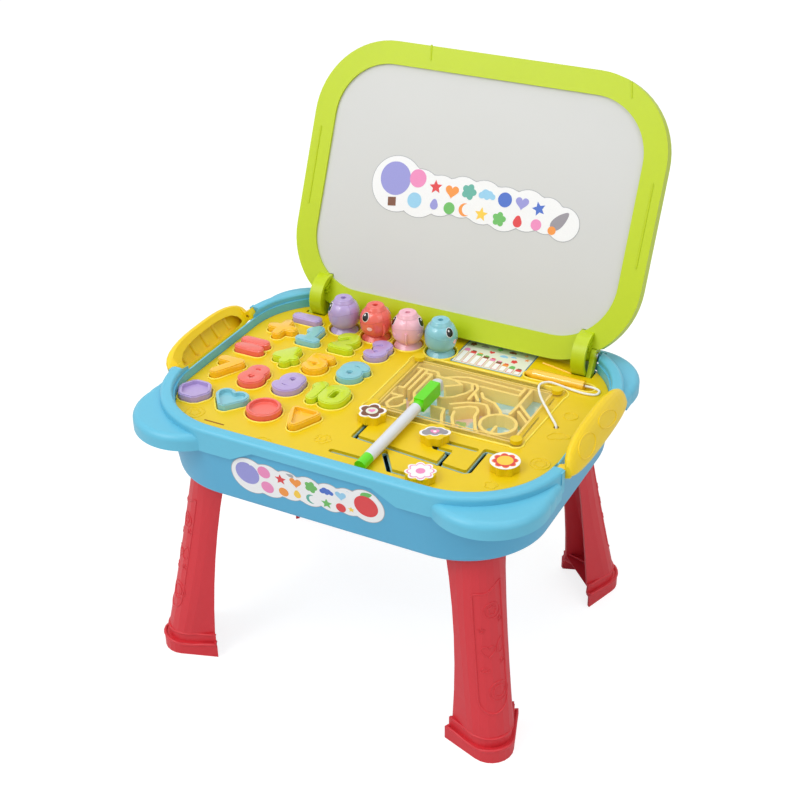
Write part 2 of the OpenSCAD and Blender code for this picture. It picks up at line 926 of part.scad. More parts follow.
module maze_walls() {
    color(maze_yellow)
        translate([0, 0, maze_floor])
            linear_extrude(panel_top - maze_floor)
                intersection() {
                    square_between(maze_x0 + 0.3, maze_x1 - 0.3, maze_y0 + 0.3, maze_y1 - 0.3);
                    union() {
                        for (line = maze_paths)
                            path(line, maze_wall_t, 2);
                        loop(maze_ring_at, maze_ring_r, maze_wall_t, false);
                        difference() {
                            square_between(maze_x0, maze_x1, maze_y0, maze_y1);
                            square_between(maze_x0 + 1.9, maze_x1 - 1.9, maze_y0 + 1.9, maze_y1 - 1.9);
                        }
                    }
                }
}

module maze_cover() {
    color([0.93, 0.87, 0.58])
        translate([0, 0, panel_top])
            linear_extrude(cover_t)
                difference() {
                    square_between(cover_x0, cover_x1, cover_y0, cover_y1);
                    for (x = [rivet_x0, rivet_x1])
                        for (y = [rivet_y0, rivet_y1])
                            disc([x, y], 1.6, 12);
                    disc(knob_at[0], knob_r + knob_scallop + 0.4, 36);
                }
}

module maze_cover_rivets() {
    color(yellow)
        for (x = [rivet_x0, rivet_x1])
            for (y = [rivet_y0, rivet_y1])
                translate([x, y, panel_top + cover_t]) {
                    linear_extrude(3)
                        disc([0, 0], rivet_r, 24);
                }
}

module picture_card() {
    color([0.75, 0.86, 0.93])
        block(card_x0, card_x1, card_y0, card_y1, panel_top - 1, panel_top - 0.2);
}

// Places things drawn on the board: X across, Y up the board and Z out of its front
module on_board() {
    translate([0, hinge_y, hinge_z])
        rotate([90 - board_tilt, 0, 0])
            translate([0, -axis_v, -axis_w])
                children();
}

module board_plate(r, w0, w1) {
    translate([0, board_v, w0])
        linear_extrude(w1 - w0)
            polygon(deck_outline(r));
}

module axis_cylinder(x0, x1, r) {
    translate([x0, axis_v, axis_w])
        rotate([0, 90, 0])
            cylinder(h = x1 - x0, r = r);
}

module ear_teeth(x) {
    for (k = [-2:2])
        translate([x, axis_v + 2.4 * k + 5, axis_w + 2.4 * k + 5])
            rotate([-45, 0, 0])
                cube([3, 7, 1.4], center = true);
}

module ear() {
    difference() {
        axis_cylinder(ear_x, ear_x + ear_w, ear_r);
        translate([ear_x - 1, axis_v - 30, -board_t - 30])
            cube([ear_w + 2, 60, 30]);
        difference() {
            axis_cylinder(ear_x - 1, ear_x + 3, ear_r - 3);
            axis_cylinder(ear_x - 2, ear_x + 4, 5.5);
            ear_teeth(ear_x + 1.5);
        }
        difference() {
            axis_cylinder(ear_x + ear_w - 3, ear_x + ear_w + 1, ear_r - 3);
            axis_cylinder(ear_x + ear_w - 4, ear_x + ear_w + 2, 5.5);
            ear_teeth(ear_x + ear_w - 1.5);
        }
    }
}

module lid_frame() {
    color(lime)
        on_board()
            difference() {
                union() {
                    difference() {
                        board_plate(board_r, -board_t, 0);
                        board_plate(board_r - board_wall, -board_t - 1, -2);
                        board_plate(window_r, -board_t - 1, 1);
                    }
                    both_sides()
                        ear();
                    for (p = board_posts)
                        translate([p[0], p[1], -board_t + 2.2])
                            cylinder(h = board_t - 3, r = 3.2);
                }
                both_sides()
                    axis_cylinder(ear_x - 3, ear_x + ear_w + 6.5, pin_r + pin_fit);
                both_sides()
                    axis_cylinder(ear_x + ear_w + 0.2, ear_x + ear_w + 6.5, cheek_r + 0.8);
                for (p = board_posts)
                    translate([p[0], p[1], -board_t])
                        cylinder(h = board_t - 2, r = 1.2);
            }
}

module whiteboard() {
    color(board_white)
        on_board()
            difference() {
                board_plate(window_r + 3.5, -4, -2.05);
                both_sides()
                    axis_cylinder(ear_x - 0.4, ear_x + ear_w + 0.4, ear_r + 0.4);
            }
}

module lid_back() {
    color(lime)
        on_board()
            difference() {
                union() {
                    board_plate(board_r - board_wall - 0.2, -board_t, -board_t + 2.2);
                    for (x = [-corner_x, 0, corner_x])
                        for (v = [-1, 1])
                            translate([x - 4, board_v + v * (corner_y + window_r + 1) - 1, -board_t + 1])
                                cube([8, 2, board_t - 5]);
                }
                both_sides()
                    axis_cylinder(ear_x - 4, ear_x + ear_w + 7, ear_r + 0.4);
                for (p = board_posts)
                    translate([p[0], p[1], -board_t - 1])
                        cylinder(h = 5, r = 1.35);
            }
}

module lid_screws() {
    color(steel)
        on_board()
            for (p = board_posts)
                translate([p[0], p[1], -board_t - 1.2]) {
                    cylinder(h = 1.2, r = 2.6);
                    cylinder(h = 7, r = 1.15);
                }
}

module hinge_bracket() {
    color(lime)
        difference() {
            translate([cheek_x, 0, 0]) {
                rotate([90, 0, 90])
                    linear_extrude(cheek_w)
                        union() {
                            polygon(concat(
                                arc_points([hinge_y, hinge_z], cheek_r, 0, 180, 16),
                                [[hinge_y - 14, panel_bottom], [hinge_y - 14, panel_bottom - 3],
                                 [hinge_y - 11, panel_bottom - 3]]));
                        }
                translate([-5, hinge_y - 26, panel_bottom - 3])
                    cube([5 + cheek_w, 12.5, 3]);
            }
            translate([cheek_x - 1, hinge_y, hinge_z])
                rotate([0, 90, 0])
                    cylinder(h = cheek_w + 2, r = pin_r);
        }
}

module hinge_bracket_left() {
    mirror([1, 0, 0])
        hinge_bracket();
}

module hinge_bracket_right() {
    hinge_bracket();
}

module hinge_pins() {
    color(steel)
        both_sides()
            translate([ear_x - 0.6, hinge_y, hinge_z])
                rotate([0, 90, 0]) {
                    cylinder(h = cheek_x + cheek_w - ear_x + 1.4, r = pin_r);
                    translate([0, 0, cheek_x + cheek_w - ear_x + 0.6])
                        cylinder(h = 1.2, r = pin_r + 1.2);
                }
}

function shaft_share(z) = (z - shaft_z) / (floor_z - shaft_z);

// How far a leg's flat side has leant inward, its half width and its depth, by height
function shaft_in(z) = 7.9 * shaft_share(z) + 9.9 * shaft_share(z) ^ 2;

function shaft_half(z) = 22.2 - 11.4 * shaft_share(z) + 11.4 * shaft_share(z) ^ 2;

function shaft_depth(z) = 31 - 24.5 * shaft_share(z) + 12.5 * shaft_share(z) ^ 2;

function shaft_nose(z) = 18 - 2 * shaft_share(z) + 4 * shaft_share(z) ^ 2;

// Plan of a leg: flat inner side at x, its half width, its depth and the radius of its nose
function leg_section(x, half, depth, nose, deep) =
    let (
        c = depth - nose,
        a = atan2(half, -c) - acos(nose / norm([half, c])))
    concat([[x - (deep > 0 ? 1 : 0), -half + deep]],
        arc_points([x + c, 0], nose - deep, -a, a, nose_steps),
        [[x - (deep > 0 ? 1 : 0), half - deep]]);

function shaft_ring(z, deep) = [
    for (p = leg_section(-shaft_in(z), shaft_half(z), shaft_depth(z), shaft_nose(z), deep))
        [p[0], p[1], z]];

module shaft(z0, z1, deep) {
    loft([for (i = [0:shaft_steps]) shaft_ring(z0 + (z1 - z0) * i / shaft_steps, deep)]);
}

module foot_band(half, depth, nose, deep, z0, z1) {
    translate([0, 0, z0])
        linear_extrude(z1 - z0)
            polygon(leg_section(0, half, depth, nose, deep));
}

module leg(i) {
    color(leg_red)
        at_leg(i) {
            difference() {
                union() {
                    shaft(shaft_z, floor_z, 0);
                    foot_band(foot_half, foot_depth, foot_nose, 0, 0, foot_step_h);
                    foot_band(ankle_half, ankle_depth, ankle_nose, 0, foot_step_h - 1, foot_h);
                }
                shaft(shaft_z - 1, floor_z - leg_top_t, wall);
                foot_band(foot_half, foot_depth, foot_nose, wall, -1, foot_step_h - wall);
                foot_band(ankle_half, ankle_depth, ankle_nose, wall, 0, foot_h - wall);
            }
            leaning_box(0, floor_z - leg_top_t, floor_z + tenon_h);
        }
}

module leg_front_left() {
    leg(0);
}

module leg_front_right() {
    leg(1);
}

module leg_back_left() {
    leg(2);
}

module leg_back_right() {
    leg(3);
}

module stamp_foot(i) {
    translate([stamp_x0 + stamp_pitch * i, stamp_y, pocket_z]) {
        cylinder(h = stamp_foot_t, r = stamp_foot_r);
        translate([0, 0, stamp_foot_t])
            cylinder(h = stamp_neck_z - stamp_foot_t, r1 = stamp_foot_r, r2 = stamp_neck_r);
    }
}

module stamp_body(i) {
    translate([stamp_x0 + stamp_pitch * i, stamp_y, pocket_z])
        difference() {
            union() {
                translate([0, 0, stamp_centre_z])
                    sphere(r = stamp_r);
                translate([0, 0, stamp_centre_z + stamp_r - 1])
                    cylinder(h = 2, r = 6.2);
            }
            translate([0, 0, -1])
                cylinder(h = stamp_neck_z + 1, r = stamp_r);
            translate([0, 0, stamp_centre_z + stamp_r - 2])
                cylinder(h = 4, r = 2);
        }
}

module stamp_purple() {
    color(purple)
        stamp_body(0);
}

module stamp_coral() {
    color(coral)
        stamp_body(1);
}

module stamp_pink() {
    color(pink)
        stamp_body(2);
}

module stamp_blue() {
    color(light_blue)
        stamp_body(3);
}

module stamp_foot_purple() {
    color(purple)
        stamp_foot(0);
}

module stamp_foot_coral() {
    color(coral)
        stamp_foot(1);
}

module stamp_foot_pink() {
    color(pink)
        stamp_foot(2);
}

module stamp_foot_blue() {
    color(light_blue)
        stamp_foot(3);
}

// Places the marker: X across, Y along it from its rear end, Z up
module on_marker() {
    translate([marker_x, marker_y, marker_z])
        rotate([marker_rise, 0, -marker_turn])
            children();
}

module along(y0, l, r) {
    translate([0, y0, 0])
        rotate([-90, 0, 0])
            cylinder(h = l, r = r);
}

module marker_end_plug() {
    color(marker_green)
        on_marker() {
            along(0, plug_l, marker_r);
            along(plug_l, plug_in, marker_r - 1.5);
        }
}

module marker_barrel() {
    color(marker_white)
        on_marker()
            difference() {
                union() {
                    along(plug_l, barrel_l, marker_r);
                    along(plug_l + barrel_l, neck_l, marker_r - 1.3);
                    along(plug_l + barrel_l + neck_l, 6, nib_r);
                }
                along(plug_l - 1, plug_in + 1, marker_r - 1.5);
            }
}

module marker_cap() {
    color(marker_green)
        on_marker()
            difference() {
                union() {
                    along(plug_l + barrel_l, cap_l, marker_r);
                    translate([-box_half, plug_l + barrel_l + cap_l, -box_low])
                        cube([2 * box_half, box_l, 2 * box_low]);
                }
                along(plug_l + barrel_l - 1, neck_l + 1, marker_r - 1.3);
                along(plug_l + barrel_l + 5, neck_l + 4, nib_r + 0.2);
            }
}

module marker_eraser() {
    color(marker_white)
        on_marker()
            translate([-box_half + 0.4, plug_l + barrel_l + cap_l + box_l, -box_low + 0.8])
                cube([2 * box_half - 0.8, eraser_l, 2 * box_low - 1.6]);
}

module stylus() {
    color(yellow)
        translate([stylus_x0, stylus_y, pocket_z + stylus_r])
            rotate([0, 90, 0])
                difference() {
                    union() {
                        translate([0, 0, 6])
                            cylinder(h = stylus_x1 - stylus_x0 - 6, r = stylus_r);
                        cylinder(h = 6.1, r1 = 1.6, r2 = stylus_r);
                    }
                    translate([0, 0, stylus_x1 - stylus_x0 - 4])
                        cylinder(h = 5, r = 1.4);
                }
}

// Points along the cord, between the route's points, by a Catmull-Rom spline
function spline(p0, p1, p2, p3, t) = 0.5 * (
    2 * p1 + (p2 - p0) * t + (2 * p0 - 5 * p1 + 4 * p2 - p3) * t * t
    + (3 * p1 - p0 - 3 * p2 + p3) * t * t * t);

function cord_points(route, steps) =
    let (last = len(route) - 1)
    concat(
        [for (i = [0:last - 1])
            for (k = [0:steps - 1])
                spline(route[max(i - 1, 0)], route[i], route[i + 1], route[min(i + 2, last)], k / steps)],
        [route[last]]);

function unit(v) = v / norm(v);

module cord_tube(points, r, sides) {
    last = len(points) - 1;
    rings = [
        for (i = [0:last])
            let (
                t = unit(points[min(i + 1, last)] - points[max(i - 1, 0)]),
                side = unit(cross(t, abs(t[2]) > 0.9 ? [1, 0, 0] : [0, 0, 1])),
                up = cross(side, t))
            for (k = [0:sides - 1])
                points[i] + r * (cos(360 * k / sides) * side + sin(360 * k / sides) * up)];
    walls = [
        for (i = [0:last - 1])
            for (k = [0:sides - 1])
                [i * sides + k, i * sides + (k + 1) % sides,
                 (i + 1) * sides + (k + 1) % sides, (i + 1) * sides + k]];
    polyhedron(rings, concat(
        walls,
        [[for (k = [sides - 1:-1:0]) k]],
        [[for (k = [0:sides - 1]) last * sides + k]]));
}

module pen_cord() {
    color([0.95, 0.95, 0.93])
        cord_tube(cord_points(cord_route, cord_steps), cord_r, cord_sides);
}

module piece_minus() {
    color(purple)
        loose_piece(minus, minus_at);
}

module piece_plus() {
    color(orange)
        loose_piece(plus, plus_at);
}

module piece_equals() {
    color(coral)
        loose_piece(equals, equals_at);
}

module shape_hexagon() {
    color(purple)
        loose_piece(hexagon, hexagon_at);
}

module shape_heart() {
    color(light_blue)
        loose_piece(heart, heart_at);
}

module shape_circle() {
    color(coral)
        loose_piece(circle_piece, circle_at);
}

module shape_triangle() {
    color(orange)
        loose_piece(triangle, triangle_at);
}

module number_1() {
    color(light_blue)
        loose_piece(1, number_at[0]);
}

module number_2() {
    color(lime)
        loose_piece(2, number_at[1]);
}

module number_3() {
    color(purple)
        loose_piece(3, number_at[2]);
}

module number_4() {
    color(lime)
        loose_piece(4, number_at[3]);
}

module number_5() {
    color(orange)
        loose_piece(5, number_at[4]);
}

module number_6() {
    color(light_blue)
        loose_piece(6, number_at[5]);
}

module number_7() {
    color(orange)
        loose_piece(7, number_at[6]);
}

module number_8() {
    color(coral)
        loose_piece(8, number_at[7]);
}

module number_9() {
    color(purple)
        loose_piece(9, number_at[8]);
}

module number_10() {
    color(lime)
        loose_piece(10, number_at[9]);
}

tub();
rim_frame();
play_panel();
track_plate();
maze_tray();
maze_floor_card();
maze_walls();
maze_cover();
maze_cover_rivets();
picture_card();
hinge_bracket_left();
hinge_bracket_right();
hinge_pins();
lid_frame();
whiteboard();
lid_back();
lid_screws();
latch_left();
latch_right();
latch_pins();
leg_front_left();
leg_front_right();
leg_back_left();
leg_back_right();
piece_minus();
piece_plus();
piece_equals();
number_1();
number_2();
number_3();
number_4();
number_5();
number_6();
number_7();
number_8();
number_9();
number_10();
shape_hexagon();
shape_heart();
shape_circle();
shape_triangle();
stamp_purple();
stamp_coral();
stamp_pink();
stamp_blue();
stamp_foot_purple();
stamp_foot_coral();
stamp_foot_pink();
stamp_foot_blue();
knob_front_left();
knob_middle();
knob_front();
knob_right();
marker_barrel();
marker_end_plug();
marker_cap();
marker_eraser();
stylus();
pen_cord();
tub_screws();
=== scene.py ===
"""Looks of a children's activity table: tub, play panel, drawing board and loose pieces."""
import contextlib
import enum
import json
import logging
import math
from dataclasses import dataclass
from typing import Callable, Iterator, Sequence

import bmesh
import bpy
from mathutils import Matrix, Vector
from mathutils.bvhtree import BVHTree

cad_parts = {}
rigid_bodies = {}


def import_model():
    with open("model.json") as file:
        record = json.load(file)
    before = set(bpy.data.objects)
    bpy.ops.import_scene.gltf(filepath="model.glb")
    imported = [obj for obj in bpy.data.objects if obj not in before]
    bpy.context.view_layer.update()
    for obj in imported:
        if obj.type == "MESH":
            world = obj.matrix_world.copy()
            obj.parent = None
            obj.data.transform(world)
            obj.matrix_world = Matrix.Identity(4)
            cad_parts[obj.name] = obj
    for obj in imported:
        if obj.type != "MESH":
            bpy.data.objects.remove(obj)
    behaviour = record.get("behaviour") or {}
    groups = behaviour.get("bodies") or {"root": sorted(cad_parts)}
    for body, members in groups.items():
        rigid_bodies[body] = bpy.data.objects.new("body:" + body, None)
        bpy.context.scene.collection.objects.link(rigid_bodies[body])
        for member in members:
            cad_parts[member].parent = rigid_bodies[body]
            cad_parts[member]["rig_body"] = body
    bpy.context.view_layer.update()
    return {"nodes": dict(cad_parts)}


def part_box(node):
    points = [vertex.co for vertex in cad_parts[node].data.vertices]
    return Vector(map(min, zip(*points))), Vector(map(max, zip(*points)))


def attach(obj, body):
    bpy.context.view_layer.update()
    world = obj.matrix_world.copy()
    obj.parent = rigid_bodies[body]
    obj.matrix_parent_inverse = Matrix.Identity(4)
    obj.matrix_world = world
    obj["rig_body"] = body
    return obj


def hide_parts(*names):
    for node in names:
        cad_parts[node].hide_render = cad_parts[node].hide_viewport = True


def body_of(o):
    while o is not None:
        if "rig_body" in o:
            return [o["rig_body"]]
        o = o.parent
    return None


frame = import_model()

LOG = logging.getLogger("activity_table")
MM = 0.001

Colour = tuple[float, float, float]
Point2 = tuple[float, float]
Point3 = tuple[float, float, float]
WHITE: Colour = (1.0, 1.0, 1.0)


def srgb(red: int, green: int, blue: int) -> Colour:
    """Gives the linear colour of a display colour.

    Args:
        red: red from 0 to 255.
        green: green from 0 to 255.
        blue: blue from 0 to 255.

    Returns:
        The colour as the shaders take it.
    """
    def linear(level: int) -> float:
        """Gives one channel's linear level."""
        share = level / 255
        return share / 12.92 if share <= 0.04045 else ((share + 0.055) / 1.055) ** 2.4
    return linear(red), linear(green), linear(blue)


class Val:
    """A number that varies over a surface, with the usual operators."""

    def __init__(self, painter: "Painter", socket: bpy.types.NodeSocket) -> None:
        """Keeps the painter and the socket."""
        self.painter = painter
        self.socket = socket

    def maths(self, operation: str, *values: "float | Val | bpy.types.NodeSocket") -> "Val":
        """Adds a Math node.

        Args:
            operation: the Math node's operation.
            values: the numbers that it works on.

        Returns:
            The node's result.
        """
        node = self.painter.node("ShaderNodeMath", {"operation": operation}, dict(enumerate(values)))
        return Val(self.painter, node.outputs[0])

    def __add__(self, other: "float | Val") -> "Val":
        """Adds."""
        return self.maths("ADD", self, other)

    __radd__ = __add__

    def __sub__(self, other: "float | Val") -> "Val":
        """Subtracts."""
        return self.maths("SUBTRACT", self, other)

    def __rsub__(self, other: "float | Val") -> "Val":
        """Subtracts from a number."""
        return self.maths("SUBTRACT", other, self)

    def __mul__(self, other: "float | Val") -> "Val":
        """Multiplies."""
        return self.maths("MULTIPLY", self, other)

    __rmul__ = __mul__

    def around(self, middle: float, spread: float) -> "Val":
        """Lets a number sway about a middle, by half the spread either way."""
        return self * spread + (middle - spread / 2)

    def clip(self) -> "Val":
        """Keeps it between 0 and 1."""
        return self.maths("MAXIMUM", self.maths("MINIMUM", self, 1.0), 0.0)


class Painter:
    """Builds the nodes of one material or world."""

    def __init__(self, name: str, blocks: bpy.types.bpy_prop_collection | None = None) -> None:
        """Starts a material, or another block such as a world, with an empty node tree.

        Args:
            name: the block's name.
            blocks: what holds the blocks of its kind, for another kind than a material.
        """
        self.block = (bpy.data.materials if blocks is None else blocks).new(name)
        self.block.use_nodes = True
        self.tree = self.block.node_tree
        self.tree.nodes.clear()

    def node(self, kind: str, settings: dict | None = None, values: dict | None = None) -> bpy.types.Node:
        """Adds a node.

        Args:
            kind: the node's type.
            settings: its settings.
            values: the values or links of its sockets.

        Returns:
            The node.
        """
        made = self.tree.nodes.new(kind)
        for name, value in (settings or {}).items():
            setattr(made, name, value)
        for name, value in (values or {}).items():
            socket = made.inputs[name]
            if isinstance(value, Val):
                self.tree.links.new(value.socket, socket)
            elif isinstance(value, bpy.types.NodeSocket):
                self.tree.links.new(value, socket)
            elif isinstance(value, tuple) and len(value) == 3 and len(socket.default_value) == 4:
                socket.default_value = (*value, 1)
            else:
                socket.default_value = value
        return made

    def noise(self, grain: float, detail: float = 2.0, rough: float = 0.5) -> Val:
        """Gives soft noise from 0 to 1 over the object.

        Args:
            grain: the size of its grains in metres.
            detail: how many finer layers it has.
            rough: how strong the finer layers are.

        Returns:
            The noise.
        """
        place = self.node("ShaderNodeTexCoord").outputs["Object"]
        node = self.node("ShaderNodeTexNoise", None, {
            "Vector": place, "Scale": 1 / grain, "Detail": detail, "Roughness": rough})
        return Val(self, node.outputs["Fac"])

    def mix(self, share: Val, low: "Colour | bpy.types.NodeSocket", high: Colour) -> bpy.types.NodeSocket:
        """Mixes two colours.

        Args:
            share: how much of the second colour shows.
            low: the first colour.
            high: the second colour.

        Returns:
            The mixed colour.
        """
        node = self.node("ShaderNodeMix", {"data_type": "RGBA"}, {0: share, 6: low, 7: high})
        return node.outputs[2]

    def bump(self, height: Val, distance: float) -> bpy.types.NodeSocket:
        """Gives a normal that follows a height.

        Args:
            height: the height from 0 to 1.
            distance: what a height of 1 is in metres.

        Returns:
            The normal.
        """
        node = self.node("ShaderNodeBump", None, {"Height": height, "Distance": distance, "Strength": 1.0})
        return node.outputs["Normal"]

    def finish(self, sockets: dict) -> bpy.types.Material:
        """Ends in one Principled shader.

        Args:
            sockets: the values or links of its sockets.

        Returns:
            The material.
        """
        shader = self.node("ShaderNodeBsdfPrincipled", None, sockets)
        self.output(shader.outputs[0])
        return self.block

    def output(self, surface: bpy.types.NodeSocket, kind: str = "ShaderNodeOutputMaterial") -> None:
        """Links a shader to the block's output."""
        self.node(kind, None, {"Surface": surface})


def shade(colour: Colour, by: float) -> Colour:
    """Gives a colour made lighter or darker by a factor."""
    return tuple(min(1.0, part * by) for part in colour)


def tones(paint: Painter, share: Val, colour: Colour, dark: float, light: float) -> bpy.types.NodeSocket:
    """Mixes a colour's darker and lighter tones.

    Args:
        paint: the material's painter.
        share: how much of the lighter tone shows.
        colour: the colour.
        dark: the factor of its darker tone.
        light: the factor of its lighter tone.

    Returns:
        The mixed colour.
    """
    return paint.mix(share, shade(colour, dark), shade(colour, light))


@dataclass(frozen=True)
class Plastic:
    """Moulded plastic: a clear colour with faint clouding, a fine satin grain and a soft gloss."""

    name: str
    colour: Colour
    roughness: float = 0.38
    coat: float = 0.0
    grain: float = 0.0009
    relief: float = 0.000012

    def material(self) -> bpy.types.Material:
        """Makes the material."""
        paint = Painter(self.name)
        cloud = paint.noise(0.05, 2.0)
        speck = paint.noise(0.004, 2.0)
        return paint.finish({
            "Base Color": tones(paint, (cloud * 0.7 + speck * 0.3).clip(), self.colour, 0.93, 1.06),
            "Roughness": speck.around(self.roughness, 0.08),
            "Normal": paint.bump(paint.noise(self.grain, 1.0), self.relief),
            "Coat Weight": self.coat, "Coat Roughness": 0.12, "Specular IOR Level": 0.45})


@dataclass(frozen=True)
class Steel:
    """Bright steel with a fine uneven grain."""

    name: str

    def material(self) -> bpy.types.Material:
        """Makes the material."""
        paint = Painter(self.name)
        streak = paint.noise(0.0006, 3.0)
        return paint.finish({
            "Base Color": paint.mix(streak, srgb(165, 168, 172), srgb(200, 202, 206)),
            "Roughness": streak * 0.18 + 0.2, "Metallic": 1.0,
            "Normal": paint.bump(streak, 0.000008)})


@dataclass(frozen=True)
class Film:
    """The drawing board's white film: smooth, slightly uneven, with faint traces of wiping."""

    name: str
    colour: Colour

    def material(self) -> bpy.types.Material:
        """Makes the material."""
        paint = Painter(self.name)
        cloud = paint.noise(0.09, 2.0)
        wipe = paint.noise(0.012, 3.0)
        return paint.finish({
            "Base Color": tones(paint, cloud, self.colour, 0.965, 1.02),
            "Roughness": wipe * 0.12 + 0.3,
            "Normal": paint.bump(cloud, 0.0002), "Specular IOR Level": 0.5})


@dataclass(frozen=True)
class Felt:
    """Pressed felt: short loose fibres on a soft block."""

    name: str
    colour: Colour

    def material(self) -> bpy.types.Material:
        """Makes the material."""
        paint = Painter(self.name)
        fibre = paint.noise(0.0004, 4.0, 0.7)
        tuft = paint.noise(0.0016, 2.0)
        return paint.finish({
            "Base Color": paint.mix((fibre * 0.6 + tuft * 0.4).clip(), shade(self.colour, 0.8), self.colour),
            "Roughness": 0.95, "Sheen Weight": 0.35,
            "Normal": paint.bump(fibre * 0.6 + tuft * 0.4, 0.0003)})


@dataclass(frozen=True)
class ClearSheet:
    """A clear plastic sheet with a warm tint and a soft gloss."""

    name: str
    colour: Colour
    share: float

    def material(self) -> bpy.types.Material:
        """Makes the material."""
        paint = Painter(self.name)
        cloud = paint.noise(0.02, 2.0)
        return paint.finish({
            "Base Color": tones(paint, cloud, self.colour, 0.96, 1.03),
            "Roughness": cloud * 0.08 + 0.16,
            "Alpha": cloud.around(self.share, 0.08),
            "Normal": paint.bump(cloud, 0.00008), "Specular IOR Level": 0.5})


@dataclass(frozen=True)
class SkyPrint:
    """The maze's printed floor: pale blue sky with soft clouds, some pink and some green."""

    name: str
    base: Colour
    patches: tuple[tuple[float, float, float, float, Colour], ...]

    def material(self) -> bpy.types.Material:
        """Makes the material."""
        paint = Painter(self.name)
        colour = self.base
        for grain, detail, least, edge, tone in self.patches:
            colour = paint.mix(((paint.noise(grain, detail) - least) * edge).clip(), colour, tone)
        return paint.finish({
            "Base Color": colour, "Roughness": paint.noise(0.004) * 0.1 + 0.4,
            "Normal": paint.bump(paint.noise(0.001), 0.00001)})


@dataclass(frozen=True)
class Ink:
    """Printed ink on a sticker or card: a plain colour with the paper's fine tooth."""

    name: str
    colour: Colour
    roughness: float = 0.42

    def material(self) -> bpy.types.Material:
        """Makes the material."""
        paint = Painter(self.name)
        tooth = paint.noise(0.0007, 2.0)
        return paint.finish({
            "Base Color": tones(paint, tooth, self.colour, 0.95, 1.04),
            "Roughness": tooth.around(self.roughness, 0.1),
            "Normal": paint.bump(tooth, 0.000008)})


Finish = Plastic | Steel | Film | Felt | ClearSheet | SkyPrint | Ink


class Finishes:
    """Makes each finish's material once."""

    def __init__(self) -> None:
        """Starts with no materials."""
        self.made: dict[str, bpy.types.Material] = {}

    def of(self, finish: Finish) -> bpy.types.Material:
        """Gives a finish's material."""
        if finish.name not in self.made:
            self.made[finish.name] = finish.material()
        return self.made[finish.name]


FINISHES = Finishes()

RIM_BLUE = Plastic("rim_blue", srgb(100, 189, 218), 0.36)
# The tub's blue is the rim's blue made darker: painted shade on the tub's side walls below the rim.
TUB_SHADED_BLUE = Plastic("tub_blue", srgb(84, 172, 211), 0.4)
YELLOW = Plastic("yellow", srgb(232, 199, 6), 0.32)
LATCH_YELLOW = Plastic("latch_yellow", srgb(245, 209, 14), 0.32)
# The raised ridges are real, but their lighter yellow is painted highlight, standing in for light on their
# rounded tops.
RIDGE_HIGHLIGHT_YELLOW = Plastic("ridge_painted_highlight_yellow", srgb(255, 230, 84), 0.24)
TRACK_BLUE = Plastic("track_blue", srgb(150, 200, 212), 0.4)
MAZE_TAN = Plastic("maze_tan", srgb(250, 220, 124), 0.34)
LIME = Plastic("lime", srgb(188, 209, 10), 0.36)
LEG_RED = Plastic("leg_red", srgb(213, 48, 58), 0.42)
PURPLE = Plastic("purple", srgb(180, 158, 212), 0.2, 0.6)
LIGHT_BLUE = Plastic("light_blue", srgb(132, 198, 212), 0.2, 0.6)
CORAL = Plastic("coral", srgb(238, 102, 88), 0.2, 0.6)
ORANGE = Plastic("orange", srgb(250, 192, 28), 0.2, 0.6)
PALE_LIME = Plastic("pale_lime", srgb(200, 222, 30), 0.2, 0.6)
PINK = Plastic("pink", srgb(242, 182, 198), 0.2, 0.6)
MARKER_GREEN = Plastic("marker_green", srgb(98, 222, 8), 0.3, 0.2)
MARKER_WHITE = Plastic("marker_white", srgb(222, 226, 234), 0.32, 0.2)
WHITE_BOARD = Film("white_film", srgb(207, 208, 206))
FELT_WHITE = Felt("felt_white", srgb(218, 220, 222))
CORD_WHITE = Plastic("cord_white", srgb(240, 240, 236), 0.6, 0.0, 0.0005, 0.00006)
BRIGHT_STEEL = Steel("bright_steel")
CLEAR = ClearSheet("clear_sheet", srgb(252, 238, 170), 0.07)
SKY = SkyPrint("sky_print", srgb(150, 204, 222), (
    (0.016, 3.0, 0.56, 12.0, srgb(222, 238, 242)), (0.022, 2.0, 0.6, 14.0, srgb(232, 196, 200)),
    (0.011, 2.0, 0.64, 18.0, srgb(142, 196, 104))))
PAPER = Ink("sticker_white", srgb(240, 241, 242))
LINE_GREY = Ink("line_grey", srgb(168, 170, 174))
BLACK = Ink("ink_black", srgb(6, 5, 6), 0.2)
INKS = {name: Ink(f"ink_{name}", srgb(*tone)) for name, tone in (
    ("red", (222, 62, 66)), ("orange", (242, 150, 62)), ("yellow", (248, 205, 70)), ("green", (106, 186, 96)),
    ("teal", (96, 176, 160)), ("blue", (70, 110, 200)), ("sky", (150, 205, 235)), ("violet", (150, 150, 215)),
    ("pink", (236, 140, 190)), ("brown", (120, 72, 48)), ("cream", (228, 232, 214)),
    ("white", (244, 244, 244)), ("grey", (150, 146, 154)), ("slate", (84, 132, 158)),
    ("sage", (190, 206, 178)), ("sand", (214, 160, 100)))}
BLUSH = Ink("blush", srgb(248, 196, 196), 0.3)
# A dark copy of the panel's yellow: painted shade inside the narrow slot.
SLOT_SHADE_BROWN = Plastic("slot_painted_shade", srgb(150, 92, 8), 0.6)


def deselect() -> None:
    """Leaves nothing selected, in object mode."""
    if bpy.context.object and bpy.context.object.mode != "OBJECT":
        bpy.ops.object.mode_set(mode="OBJECT")
    bpy.ops.object.select_all(action="DESELECT")


def focus(piece: bpy.types.Object) -> None:
    """Selects one object and makes it the active one."""
    deselect()
    piece.select_set(True)
    bpy.context.view_layer.objects.active = piece


@contextlib.contextmanager
def editing(piece: bpy.types.Object, kind: str = "FACE") -> Iterator[None]:
    """Opens a piece in edit mode with all of it selected.

    Args:
        piece: the piece.
        kind: what is selected: VERT, EDGE or FACE.
    """
    focus(piece)
    bpy.ops.object.mode_set(mode="EDIT")
    bpy.ops.mesh.select_mode(type=kind)
    bpy.ops.mesh.select_all(action="SELECT")
    yield
    bpy.ops.object.mode_set(mode="OBJECT")


